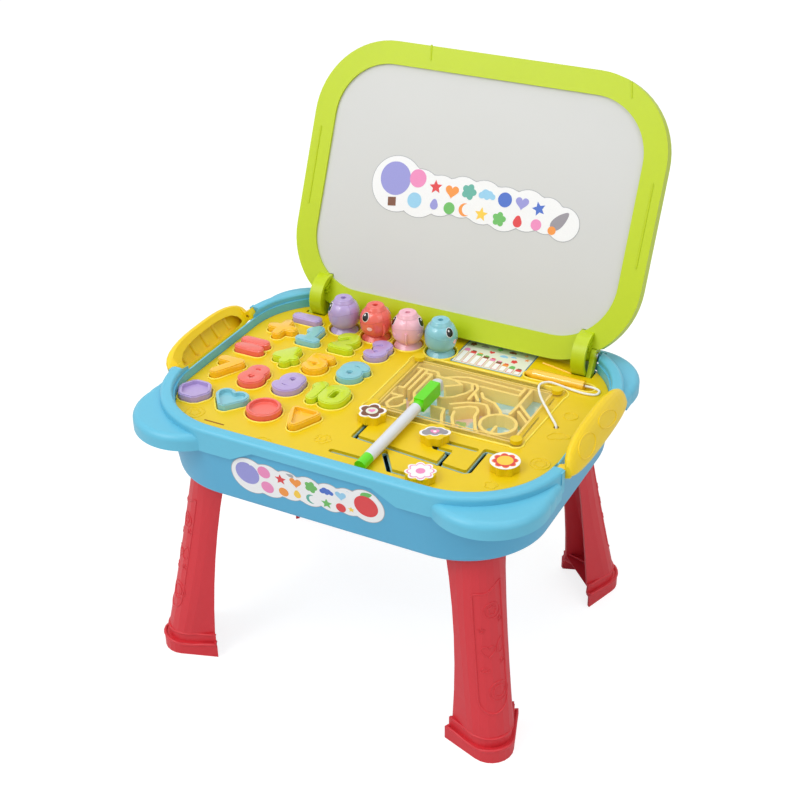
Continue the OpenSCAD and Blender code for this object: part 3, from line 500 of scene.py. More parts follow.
def pick_faces(piece: bpy.types.Object, test: Callable[[Vector, Vector], bool]) -> None:
    """Selects in edit mode the faces that pass a test.

    Args:
        piece: the piece.
        test: says from a face's middle and normal whether it is selected.
    """
    mesh = bmesh.from_edit_mesh(piece.data)
    for face in mesh.faces:
        face.select_set(False)
    for face in mesh.faces:
        if test(face.calc_center_median(), face.normal):
            face.select_set(True)
    bmesh.update_edit_mesh(piece.data)


def named(piece: bpy.types.Object, name: str) -> bpy.types.Object:
    """Names a piece and its mesh."""
    piece.name = name
    piece.data.name = name
    return piece


def smooth(piece: bpy.types.Object, degrees: float = 32) -> bpy.types.Object:
    """Shades a piece smooth, but for edges sharper than an angle."""
    focus(piece)
    bpy.ops.object.shade_smooth_by_angle(angle=math.radians(degrees))
    return piece


def settle(piece: bpy.types.Object, matrix: Matrix) -> bpy.types.Object:
    """Puts a piece in its place and leaves its object at the origin.

    Args:
        piece: the piece, with its object at the origin.
        matrix: where it goes.

    Returns:
        The piece.
    """
    focus(piece)
    piece.matrix_world = matrix
    bpy.ops.object.transform_apply(location=True, rotation=True, scale=True)
    return piece


def wrap(piece: bpy.types.Object, to: Callable[[Vector], Vector]) -> bpy.types.Object:
    """Moves each of a piece's points by a rule."""
    for point in piece.data.vertices:
        point.co = to(point.co)
    piece.data.update()
    return piece


def join(pieces: Sequence[bpy.types.Object], name: str) -> bpy.types.Object:
    """Joins pieces into one.

    Args:
        pieces: the pieces, each with its material.
        name: the name of the whole.

    Returns:
        The joined piece.
    """
    focus(pieces[0])
    for piece in pieces:
        piece.select_set(True)
    if len(pieces) > 1:
        bpy.ops.object.join()
    return named(pieces[0], name)


def dress(piece: bpy.types.Object, finish: Finish) -> bpy.types.Object:
    """Gives a piece one finish."""
    piece.data.materials.clear()
    piece.data.materials.append(FINISHES.of(finish))
    return piece


def lifted(points: Sequence[Point2], height: float) -> list[Point3]:
    """Gives an outline's points in metres at a height, from millimetres."""
    return [(x * MM, y * MM, height * MM) for x, y in points]


def plate(points: Sequence[Point2], low: float, top: float, finish: Finish,
          cuts: int = 0) -> bpy.types.Object:
    """Cuts a flat plate to an outline, in millimetres.

    Args:
        points: the outline, counter-clockwise.
        low: the height of its underside.
        top: the height of its face.
        finish: what it is made of.
        cuts: how often its face is divided, for a plate that is then bent.

    Returns:
        The plate.
    """
    deselect()
    bpy.ops.mesh.primitive_circle_add(vertices=len(points), radius=1.0, fill_type="NGON", location=(0, 0, 0))
    piece = bpy.context.object
    for point, place in zip(piece.data.vertices, lifted(points, low)):
        point.co = place
    with editing(piece):
        bpy.ops.mesh.normals_make_consistent(inside=False)
        if piece.data.polygons[0].normal.z < 0:
            bpy.ops.mesh.flip_normals()
        if cuts:
            bpy.ops.mesh.quads_convert_to_tris()
            bpy.ops.mesh.subdivide(number_cuts=cuts)
        bpy.ops.mesh.extrude_region_move(TRANSFORM_OT_translate={"value": (0, 0, (top - low) * MM)})
        bpy.ops.mesh.select_all(action="SELECT")
        bpy.ops.mesh.normals_make_consistent(inside=False)
    return dress(piece, finish)


def copy_of(node: str) -> bpy.types.Object:
    """Gives a merged copy of a CAD node's mesh, to be reshaped."""
    source = frame["nodes"][node]
    piece = bpy.data.objects.new("copy", source.data.copy())
    bpy.context.scene.collection.objects.link(piece)
    with editing(piece, "VERT"):
        bpy.ops.mesh.remove_doubles(threshold=1e-6)
    return piece


def turned(points: Sequence[Point2], degrees: float, at: Point2 = (0, 0),
           scale: float = 1.0) -> list[Point2]:
    """Turns, scales and moves an outline."""
    cos, sin = math.cos(math.radians(degrees)), math.sin(math.radians(degrees))
    return [(at[0] + scale * (x * cos - y * sin), at[1] + scale * (x * sin + y * cos)) for x, y in points]


def round_angles(steps: int) -> list[float]:
    """Gives evenly spaced angles round a full turn, in radians."""
    return [2 * math.pi * i / steps for i in range(steps)]


def ellipse(long: float, short: float, steps: int) -> list[Point2]:
    """Draws an ellipse from half its length and half its width."""
    return [(math.cos(a) * long, math.sin(a) * short) for a in round_angles(steps)]


def rectangle(left: float, right: float, front: float, back: float) -> list[Point2]:
    """Draws a rectangle."""
    return [(left, front), (right, front), (right, back), (left, back)]


def round_outline(reach: Callable[[float], float], steps: int) -> list[Point2]:
    """Draws an outline from its reach in each direction.

    Args:
        reach: the distance from the middle at an angle in radians.
        steps: how many points it gets.

    Returns:
        The outline's points.
    """
    return [(reach(a) * math.cos(a), reach(a) * math.sin(a)) for a in round_angles(steps)]


class Motif(enum.Enum):
    """The shapes that the prints and the low relief use, each about 1 unit in radius."""

    DISC = "disc"
    STAR = "star"
    FLOWER = "flower"
    DAISY = "daisy"
    CLOUD = "cloud"
    HEART = "heart"
    DROP = "drop"
    MOON = "moon"
    LEAF = "leaf"
    SQUARE = "square"

    def outline(self) -> list[Point2]:
        """Gives the shape's outline."""
        return {
            Motif.DISC: lambda: round_outline(lambda a: 1.0, 40),
            Motif.STAR: lambda: turned(star_outline(5, 0.46), 90),
            Motif.FLOWER: lambda: round_outline(lambda a: 0.72 + 0.28 * abs(math.cos(2.5 * a)), 60),
            Motif.DAISY: lambda: round_outline(lambda a: 0.78 + 0.22 * abs(math.cos(4 * a)), 96),
            Motif.CLOUD: lambda: band_outline([(-0.62, -0.1, 0.36), (-0.2, 0.14, 0.46), (0.28, 0.08, 0.42),
                                               (0.68, -0.1, 0.32), (0.0, -0.16, 0.36)], 0.0, 20),
            Motif.HEART: lambda: heart_outline(44, 0.062),
            Motif.DROP: lambda: round_outline(
                lambda a: 0.66 + 0.34 * max(0.0, math.cos(a - math.pi / 2)) ** 6, 40),
            Motif.MOON: moon_outline,
            Motif.LEAF: lambda: [(math.cos(a), 0.46 * math.sin(a) * (1 - 0.35 * math.cos(a)))
                                 for a in round_angles(32)],
            Motif.SQUARE: lambda: [(1, 1), (-1, 1), (-1, -1), (1, -1)],
        }[self]()

    def at(self, x: float, y: float, size: float, turn: float = 0) -> list[Point2]:
        """Gives the shape's outline at a place, in millimetres, turned by degrees."""
        return turned(self.outline(), turn, (x, y), size)


def star_outline(rays: int, waist: float) -> list[Point2]:
    """Draws a star of radius 1 with a ray to the right."""
    reach = [1.0 if i % 2 == 0 else waist for i in range(2 * rays)]
    return [(r * math.cos(math.pi * i / rays), r * math.sin(math.pi * i / rays)) for i, r in enumerate(reach)]


def heart_outline(steps: int, scale: float) -> list[Point2]:
    """Draws a heart, counter-clockwise, on its usual curve."""
    return [(scale * 16 * math.sin(t) ** 3,
             scale * (13 * math.cos(t) - 5 * math.cos(2 * t) - 2 * math.cos(3 * t) - math.cos(4 * t)))
            for t in [-2 * math.pi * i / steps for i in range(steps)]]


def moon_outline() -> list[Point2]:
    """Draws a crescent, open to the right."""
    outer = [(math.cos(a), math.sin(a)) for a in [math.radians(60 + 240 * i / 24) for i in range(25)]]
    inner = [(0.42 + 0.87 * math.cos(a), 0.87 * math.sin(a))
             for a in [math.radians(275 - 190 * i / 20) for i in range(21)]]
    return outer + inner


def band_outline(discs: Sequence[tuple[float, float, float]], grow: float, steps: int = 90) -> list[Point2]:
    """Draws the outline round a row of discs that overlap.

    Args:
        discs: each disc's middle and radius.
        grow: how much wider the outline is than the discs.
        steps: how many points it has on each side.

    Returns:
        The outline's points.
    """
    left = min(x - r for x, _, r in discs) - grow
    right = max(x + r for x, _, r in discs) + grow
    across = [left + (right - left) * (1 - math.cos(math.pi * i / steps)) / 2 for i in range(steps + 1)]

    def edge(x: float, side: int) -> float:
        """Gives the outermost disc's edge above or below a place."""
        reach = [y + side * math.sqrt(max(0.0, (r + grow) ** 2 - (x - cx) ** 2))
                 for cx, y, r in discs if abs(x - cx) <= r + grow + 1e-9]
        return max(reach) if side > 0 else min(reach)

    under = [(x, edge(x, -1)) for x in across]
    over = [(x, edge(x, 1)) for x in across[-2:0:-1]]
    return under + over


def lathe(profile: Sequence[Point2], centre: Vector, finish: Finish, steps: int = 48) -> bpy.types.Object:
    """Turns a profile round an upright axis.

    Args:
        profile: radius and height in millimetres, from the outside in.
        centre: the point on the axis that the heights start from.
        finish: what it is made of.
        steps: how many facets it has round the axis.

    Returns:
        The turned shell.
    """
    mesh = bpy.data.meshes.new("turned")
    points = [centre + Vector((r * math.cos(a), r * math.sin(a), z)) * MM
              for r, z in profile for a in round_angles(steps)]
    faces = []
    for row in range(0, (len(profile) - 1) * steps, steps):
        for k in range(steps):
            after = (k + 1) % steps
            faces.append((row + k, row + after, row + steps + after, row + steps + k))
    mesh.from_pydata(points, [], faces)
    piece = bpy.data.objects.new("turned", mesh)
    bpy.context.scene.collection.objects.link(piece)
    return smooth(dress(piece, finish), 60)


def walk_loops(piece: bpy.types.Object) -> list[list[Point2]]:
    """Follows a mesh's loose edges.

    Args:
        piece: the piece, with edges that make closed outlines.

    Returns:
        The outlines, counter-clockwise, in metres.
    """
    near: dict[int, list[int]] = {}
    for edge in piece.data.edges:
        a, b = edge.vertices
        near.setdefault(a, []).append(b)
        near.setdefault(b, []).append(a)
    loops = []
    left = set(near)
    while left:
        following = [min(left)]
        order = []
        while following:
            order.append(following[0])
            left.discard(following[0])
            following = [k for k in near[order[-1]] if k in left]
        loop = [tuple(piece.data.vertices[k].co[:2]) for k in order]
        if sum(a[0] * b[1] - b[0] * a[1] for a, b in zip(loop, loop[1:] + loop[:1])) < 0:
            loop.reverse()
        loops.append(loop)
    return loops


def grown(loop: Sequence[Point2], by: float) -> list[Point2]:
    """Moves a counter-clockwise outline outward.

    Args:
        loop: the outline.
        by: how far it moves, in metres.

    Returns:
        The wider outline.
    """
    found = []
    for i, (x, y) in enumerate(loop):
        before, after = loop[i - 1], loop[(i + 1) % len(loop)]
        first = Vector((x - before[0], y - before[1])).normalized()
        second = Vector((after[0] - x, after[1] - y)).normalized()
        normal = Vector((first.y + second.y, -first.x - second.x))
        normal.normalize()
        widen = 1 / max(0.6, normal.dot(Vector((first.y, -first.x))))
        found.append((x + normal.x * by * widen, y + normal.y * by * widen))
    return found


def tube(path: Sequence[Sequence[float]], radius: float, finish: Finish, closed: bool = False,
         smooth_path: bool = False) -> bpy.types.Object:
    """Lays a round bead along a path and makes it a mesh.

    Args:
        path: the points that it follows, in metres.
        radius: half its width, in millimetres.
        finish: what it is made of.
        closed: whether it runs back to its start.
        smooth_path: whether it bends smoothly between the points.

    Returns:
        The bead.
    """
    line = bpy.data.curves.new("line", "CURVE")
    line.dimensions = "3D"
    line.bevel_depth = radius * MM
    line.bevel_resolution = 3
    line.use_fill_caps = True
    spline = line.splines.new("NURBS" if smooth_path else "POLY")
    spline.points.add(len(path) - 1)
    for point, place in zip(spline.points, path):
        point.co = (*place, 1)
    spline.use_cyclic_u = closed
    if smooth_path:
        spline.order_u = 4
        spline.use_endpoint_u = True
    piece = bpy.data.objects.new("bead", line)
    bpy.context.scene.collection.objects.link(piece)
    focus(piece)
    bpy.ops.object.convert(target="MESH")
    return smooth(dress(bpy.context.object, finish), 60)


@dataclass
class Studio:
    """Camera, pale floor and plain soft light."""

    eye: Point3 = (0.4297, -0.80194, 0.74284)
    azimuth: float = 27.88
    elevation: float = 31.06
    roll: float = -0.95
    lens: float = 65.44
    sensor: float = 36.0
    floor_size: float = 14.0
    floor_glow: float = 0.8
    floor_tone: float = 0.36
    bounce_tone: float = 0.8
    ambient: float = 0.53
    aim: Point3 = (0, 0, 0.2)
    lamps: tuple[tuple[Point3, float, float], ...] = (
        ((-0.9, -1.3, 1.7), 1.4, 18), ((1.5, -0.6, 1.3), 1.2, 5), ((0, 0.2, 2.2), 1.6, 11),
        ((-0.5, -1.1, 1.5), 0.09, 1.3), ((0.9, -0.7, 1.6), 0.09, 0.9))

    def camera(self) -> None:
        """Stands the camera where the photograph was taken."""
        azimuth, elevation, roll = (math.radians(a) for a in (self.azimuth, self.elevation, self.roll))
        back = Vector((math.sin(azimuth) * math.cos(elevation), -math.cos(azimuth) * math.cos(elevation),
                       math.sin(elevation)))
        right = Vector((math.cos(azimuth), math.sin(azimuth), 0))
        up = back.cross(right)
        across = math.cos(roll) * right + math.sin(roll) * up
        upward = math.cos(roll) * up - math.sin(roll) * right
        data = bpy.data.cameras.new("camera")
        data.sensor_width = self.sensor
        data.lens = self.lens
        data.clip_start = 0.01
        camera = bpy.data.objects.new("camera", data)
        camera.matrix_world = Matrix((across, upward, back)).transposed().to_4x4()
        camera.location = self.eye
        bpy.context.scene.collection.objects.link(camera)
        bpy.context.scene.camera = camera

    def floor(self) -> None:
        """Lays a wide pale floor that keeps the object's shadow."""
        deselect()
        bpy.ops.mesh.primitive_plane_add(size=self.floor_size, location=(0, 0, 0))
        floor = named(bpy.context.object, "floor")
        paint = Painter("floor")
        path = paint.node("ShaderNodeLightPath")
        glow = paint.node("ShaderNodeEmission", None, {"Color": WHITE, "Strength": self.floor_glow})
        soft, plain = (paint.node("ShaderNodeBsdfDiffuse", None, {"Color": (tone, tone, tone)})
                       for tone in (self.floor_tone, self.bounce_tone))
        both = paint.node("ShaderNodeAddShader", None, {0: glow.outputs[0], 1: soft.outputs[0]})
        mixed = paint.node("ShaderNodeMixShader", None, {
            0: path.outputs["Is Camera Ray"], 1: plain.outputs[0], 2: both.outputs[0]})
        paint.output(mixed.outputs[0])
        floor.data.materials.append(paint.block)

    def lights(self) -> None:
        """Lights the object softly from all round, a little stronger from the front left."""
        paint = Painter("studio", bpy.data.worlds)
        bpy.context.scene.world = paint.block
        path = paint.node("ShaderNodeLightPath")
        seen = Val(paint, path.outputs["Is Camera Ray"])
        for ray in ("Is Transmission Ray", "Is Glossy Ray"):
            seen = seen.maths("MAXIMUM", seen, path.outputs[ray])
        lit, white = (paint.node("ShaderNodeBackground", None, {"Color": WHITE, "Strength": strength})
                      for strength in (self.ambient, 1.0))
        mixed = paint.node("ShaderNodeMixShader", None, {0: seen, 1: lit.outputs[0], 2: white.outputs[0]})
        paint.output(mixed.outputs[0], "ShaderNodeOutputWorld")
        for place, size, power in self.lamps:
            light = bpy.data.lights.new("lamp", "AREA")
            light.size = size
            light.energy = power
            lamp = bpy.data.objects.new("lamp", light)
            lamp.location = place
            lamp.rotation_euler = (Vector(self.aim) - Vector(place)).to_track_quat("-Z", "Y").to_euler()
            bpy.context.scene.collection.objects.link(lamp)

    def build(self) -> None:
        """Sets the stage and the view settings."""
        self.camera()
        self.floor()
        self.lights()
        bpy.context.scene.view_settings.view_transform = "Standard"


@dataclass
class PenCord:
    """The white cord between the stylus and the hole in the panel, in millimetres."""

    panel_top: float = 201.3
    panel_bottom: float = 197.3
    diameter: float = 1.8
    steps: int = 3

    def route(self) -> list[Point3]:
        """Gives the route's points as the part's source has them."""
        low, high = self.panel_top + 1, self.panel_top + 2.9
        return [
            (122.3, 67.5, self.panel_top + 1.3), (128, 68, self.panel_top + 1.2), (134, 66, low),
            (134, 60, low), (126, 58, low), (115, 59, low), (105, 61, low + 0.1), (97, 60, low + 1.2),
            (93, 53, high), (96, 44, high), (103, 33, high), (111, 23, high), (118, 15, low + 0.9),
            (122.4, 10.2, low + 0.2),
            (124.3, 7.9, self.panel_top - 0.4), (124.5, 7.5, self.panel_bottom - 1)]

    def points(self) -> list[Vector]:
        """Gives points along the smooth route, in metres."""
        route = [Vector(p) * MM for p in self.route()]
        last = len(route) - 1
        found = []
        for i in range(last):
            a, b, c, d = route[max(i - 1, 0)], route[i], route[i + 1], route[min(i + 2, last)]
            for k in range(self.steps):
                t = k / self.steps
                found.append(0.5 * (2 * b + (c - a) * t + (2 * a - 5 * b + 4 * c - d) * t * t
                                    + (3 * b - a - 3 * c + d) * t ** 3))
        return found + [route[last]]

    def build(self) -> None:
        path = self.points()
        length = sum((b - a).length for a, b in zip(path, path[1:]))
        piece = named(tube(path, self.diameter / 2, CORD_WHITE), "cord")
        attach(piece, "table")
        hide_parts("pen_cord")
        tuple(path[0])
        [tuple(p) for p in path]


@dataclass
class NodeFinishes:
    """Gives each CAD node that stays its material."""

    finishes: tuple[tuple[Finish, str], ...] = (
        (TUB_SHADED_BLUE, "tub"), (RIM_BLUE, "rim_frame"), (TRACK_BLUE, "track_plate maze_tray"),
        (YELLOW, "play_panel maze_cover_rivets knob_front_left knob_middle knob_front knob_right"),
        (LATCH_YELLOW, "latch_left latch_right"), (SKY, "maze_floor_card"), (MAZE_TAN, "maze_walls"),
        (CLEAR, "maze_cover"), (INKS["cream"], "picture_card"), (WHITE_BOARD, "whiteboard"),
        (LIME, "lid_frame lid_back hinge_bracket_left hinge_bracket_right"),
        (BRIGHT_STEEL, "lid_screws tub_screws hinge_pins latch_pins"),
        (LEG_RED, "leg_front_left leg_front_right leg_back_left leg_back_right"),
        (PURPLE, "piece_minus number_3 number_9 shape_hexagon stamp_purple stamp_foot_purple"),
        (ORANGE, "piece_plus number_5 number_7 shape_triangle stylus"),
        (CORAL, "piece_equals number_8 shape_circle stamp_coral stamp_foot_coral"),
        (LIGHT_BLUE, "number_1 number_6 shape_heart stamp_blue stamp_foot_blue"),
        (PALE_LIME, "number_2 number_4 number_10"), (PINK, "stamp_pink stamp_foot_pink"),
        (MARKER_WHITE, "marker_barrel"), (MARKER_GREEN, "marker_end_plug marker_cap"),
        (FELT_WHITE, "marker_eraser"), (CORD_WHITE, "pen_cord"))

    def build(self) -> None:
        """Assigns the materials."""
        of_node = {node: finish for finish, nodes in self.finishes for node in nodes.split()}
        for name, node in frame["nodes"].items():
            for place in node.material_slots:
                place.material = FINISHES.of(of_node[name])


@dataclass
class LoosePieces:
    """Numbers, signs and shapes with softly rounded edges, made on their CAD nodes' own forms."""

    rounding: float = 0.62
    segments: int = 3
    sharp: float = 28.0
    flat: float = 2.0
    nodes: tuple[str, ...] = (
        "piece_minus", "piece_plus", "piece_equals", *(f"number_{i}" for i in range(1, 11)),
        "shape_hexagon", "shape_heart", "shape_circle", "shape_triangle")

    def shape(self, node: str) -> bpy.types.Object:
        """Makes one rounded piece.

        Args:
            node: the CAD node's name.

        Returns:
            The piece.
        """
        piece = copy_of(node)
        with editing(piece):
            bpy.ops.mesh.dissolve_limited(angle_limit=math.radians(self.flat))
        bevel = piece.modifiers.new("rounding", "BEVEL")
        bevel.width = self.rounding * MM
        bevel.segments = self.segments
        bevel.limit_method = "ANGLE"
        bevel.angle_limit = math.radians(self.sharp)
        bevel.use_clamp_overlap = True
        focus(piece)
        bpy.ops.object.modifier_apply(modifier=bevel.name)
        piece.data.materials.clear()
        piece.data.materials.append(frame["nodes"][node].material_slots[0].material)
        return smooth(named(piece, f"{node}_body"), 40)

    def build(self) -> None:
        """Makes every piece."""
        for node in self.nodes:
            piece = self.shape(node)
            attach(piece, body_of(frame["nodes"][node])[0])
            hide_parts(node)


@dataclass
class PanelDetails:
    """Raised lines round the pockets, and the low relief on the yellow panel, in millimetres."""

    panel_top: float = 201.3
    pocket_depth: float = 3.0
    line_offset: float = 0.95
    line_radius: float = 0.72
    line_rise: float = 0.2
    least_pocket: float = 4.0
    reliefs: tuple[tuple[Motif, float, float, float, float], ...] = (
        (Motif.DISC, 132.0, -39.6, 6.8, 0), (Motif.DAISY, 132.0, -39.6, 4.2, 0),
        (Motif.CLOUD, 130, -2.5, 8, 25), (Motif.DAISY, 138, -66, 4, 0), (Motif.FLOWER, 112.7, -77, 4.5, 20),
        (Motif.DISC, -114.8, -86.3, 7, 0), (Motif.FLOWER, -114.8, -86.3, 4, 15),
        (Motif.FLOWER, -14.6, -77, 6, 0), (Motif.DISC, -14.6, -77, 2.5, 0), (Motif.CLOUD, -50, -98, 8, 0),
        (Motif.DISC, 128, 26, 5, 0))
    relief_radius: float = 0.45
    ridge: tuple[Point2, Point2] = ((81, 88), (106, 82))
    ridge_radius: float = 0.9
    ears: tuple[tuple[float, float, float, float], ...] = (
        (107.6, 50.2, -30, 8.3), (-3.7, 50.2, 60, 8.3), (-3.7, -24.1, 150, 8.3), (107.6, -24.1, 240, 5.6))
    ear_sweep: float = 150.0
    ear_steps: int = 12
    border_rise: float = 0.1
    border_radius: float = 0.8
    inner_line: tuple[float, float, float, float] = (-2.6, 105.6, -22.6, 48.6)
    inner_rise: float = 1.6
    inner_radius: float = 0.4
    slot_at: tuple[float, float, float, float] = (-103, -86.5, -92.6, -91.2)

    def pocket_edges(self) -> list[list[Point2]]:
        """Gives the outline of every pocket, from the pockets' own floors, counter-clockwise, in metres."""
        floor = (self.panel_top - self.pocket_depth) * MM
        piece = copy_of("play_panel")
        with editing(piece):
            pick_faces(piece, lambda middle, normal: abs(middle.z - floor) < 1e-5 and normal.z > 0.9)
            bpy.ops.mesh.select_all(action="INVERT")
            bpy.ops.mesh.delete(type="FACE")
            bpy.ops.mesh.select_all(action="SELECT")
            bpy.ops.mesh.dissolve_limited(angle_limit=math.radians(1))
            bpy.ops.mesh.select_all(action="SELECT")
            bpy.ops.mesh.delete(type="ONLY_FACE")
        loops = walk_loops(piece)
        bpy.data.objects.remove(piece)
        widths = [max(x for x, _ in loop) - min(x for x, _ in loop) for loop in loops]
        return [loop for loop, width in zip(loops, widths) if width > self.least_pocket * MM]

    def pocket_lines(self) -> bpy.types.Object:
        """Raises a line round every pocket, in a lighter yellow that is painted highlight."""
        height = (self.panel_top + self.line_rise) * MM
        lines = [grown(loop, self.line_offset * MM) for loop in self.pocket_edges()]
        return join([tube([(x, y, height) for x, y in line], self.line_radius, RIDGE_HIGHLIGHT_YELLOW, True)
                     for line in lines], "pocket_lines")

    def relief(self) -> bpy.types.Object:
        """Raises low outlines and a short ridge on the panel."""
        made = [tube(lifted(motif.at(x, y, size, turn), self.panel_top), self.relief_radius, YELLOW, True)
                for motif, x, y, size, turn in self.reliefs]
        made.append(tube(lifted(self.ridge, self.panel_top), self.ridge_radius, ORANGE))
        return smooth(join(made, "panel_relief"), 50)

    def cover_border(self) -> bpy.types.Object:
        """Raises a line round the clear cover, with an ear round each rivet, in a lighter yellow that is
        painted highlight, and a second line inside it.
        """
        outline = []
        for x, y, start, reach in self.ears:
            for i in range(self.ear_steps + 1):
                angle = math.radians(start + self.ear_sweep * i / self.ear_steps)
                outline.append((x + reach * math.cos(angle), y + reach * math.sin(angle)))
        border = lifted(outline, self.panel_top + self.border_rise)
        outer = tube(border, self.border_radius, RIDGE_HIGHLIGHT_YELLOW, True)
        inner_line = lifted(rectangle(*self.inner_line), self.panel_top + self.inner_rise)
        inner = tube(inner_line, self.inner_radius, MAZE_TAN, True)
        return join([outer, inner], "cover_border")

    def slot(self) -> bpy.types.Object:
        """Lays a dark plate over the narrow slot near the front left: its colour is painted shade inside the
        slot.
        """
        face = plate(rectangle(*self.slot_at), self.panel_top - 0.5, self.panel_top + 0.04, SLOT_SHADE_BROWN)
        return named(face, "panel_slot")

    def build(self) -> None:
        """Makes them and lets them move with the table."""
        for piece in (self.pocket_lines(), self.relief(), self.cover_border(), self.slot()):
            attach(piece, "table")


class Skin:
    """The outer surface of a CAD node, on which small things are laid."""

    def __init__(self, node: str) -> None:
        """Reads the node's faces."""
        mesh = frame["nodes"][node].data
        points = [vertex.co.copy() for vertex in mesh.vertices]
        self.tree = BVHTree.FromPolygons(points, [list(face.vertices) for face in mesh.polygons])

    def hit(self, start: Vector, toward: Vector) -> tuple[Vector | None, Vector | None]:
        """Gives the first place and normal that a ray meets.

        Args:
            start: where the ray starts, in metres.
            toward: which way it goes.

        Returns:
            The place and the normal, or nothing twice.
        """
        place, normal, _, _ = self.tree.ray_cast(start, toward.normalized())
        if normal is not None and normal.dot(toward) > 0:
            normal = -normal
        return place, normal

    def bead(self, starts: Sequence[Vector], toward: Vector, radius: float, finish: Finish,
             rise: float) -> bpy.types.Object:
        """Lays a closed bead where rays from a row of points meet the surface.

        Args:
            starts: the points, in metres.
            toward: which way the rays go.
            radius: the bead's radius in millimetres.
            finish: what it is made of.
            rise: how far its middle stands off, in radii.

        Returns:
            The bead.
        """
        path = []
        for start in starts:
            place, normal = self.hit(start, toward)
            if place is not None:
                path.append(place + normal * (radius * MM) * rise)
        return tube(path, radius, finish, True)

    def cover(self, piece: bpy.types.Object, origin: Vector, across: Vector, up: Vector,
              toward: Vector) -> bpy.types.Object:
        """Bends a flat piece onto the surface, with its height as the distance from it.

        Args:
            piece: the flat piece.
            origin: where its drawing's own origin is, off the surface.
            across: the way of its first axis.
            up: the way of its second axis.
            toward: the way to the surface.

        Returns:
            The bent piece.
        """
        def to(point: Vector) -> Vector:
            """Gives a point's place on the surface."""
            start = origin + across * point.x + up * point.y
            place, normal = self.hit(start, toward)
            return start if place is None else place + normal * point.z
        return wrap(piece, to)


@dataclass
class Sticker:
    """A white die-cut sticker with generic motifs, drawn flat in millimetres."""

    name: str
    discs: tuple[Point3, ...]
    motifs: tuple[tuple[Motif, float, float, float, float, str], ...]
    cuts: int = 0
    edge: float = 0.14
    paper: float = 0.2
    border: float = 0.5
    ink_low: float = 0.05
    ink_top: float = 0.26
    ink_step: float = 0.01

    def flat(self) -> list[bpy.types.Object]:
        """Makes the sticker's layers, flat, with its underside at height 0."""
        layers = [plate(band_outline(self.discs, 0.0), 0.0, self.edge, LINE_GREY, self.cuts),
                  plate(band_outline(self.discs, -self.border), 0.0, self.paper, PAPER, self.cuts)]
        for i, (motif, x, y, size, turn, ink) in enumerate(self.motifs):
            top = self.ink_top + self.ink_step * (i % 7)
            layers.append(plate(motif.at(x, y, size, turn), self.ink_low, top, INKS[ink], self.cuts))
        return layers


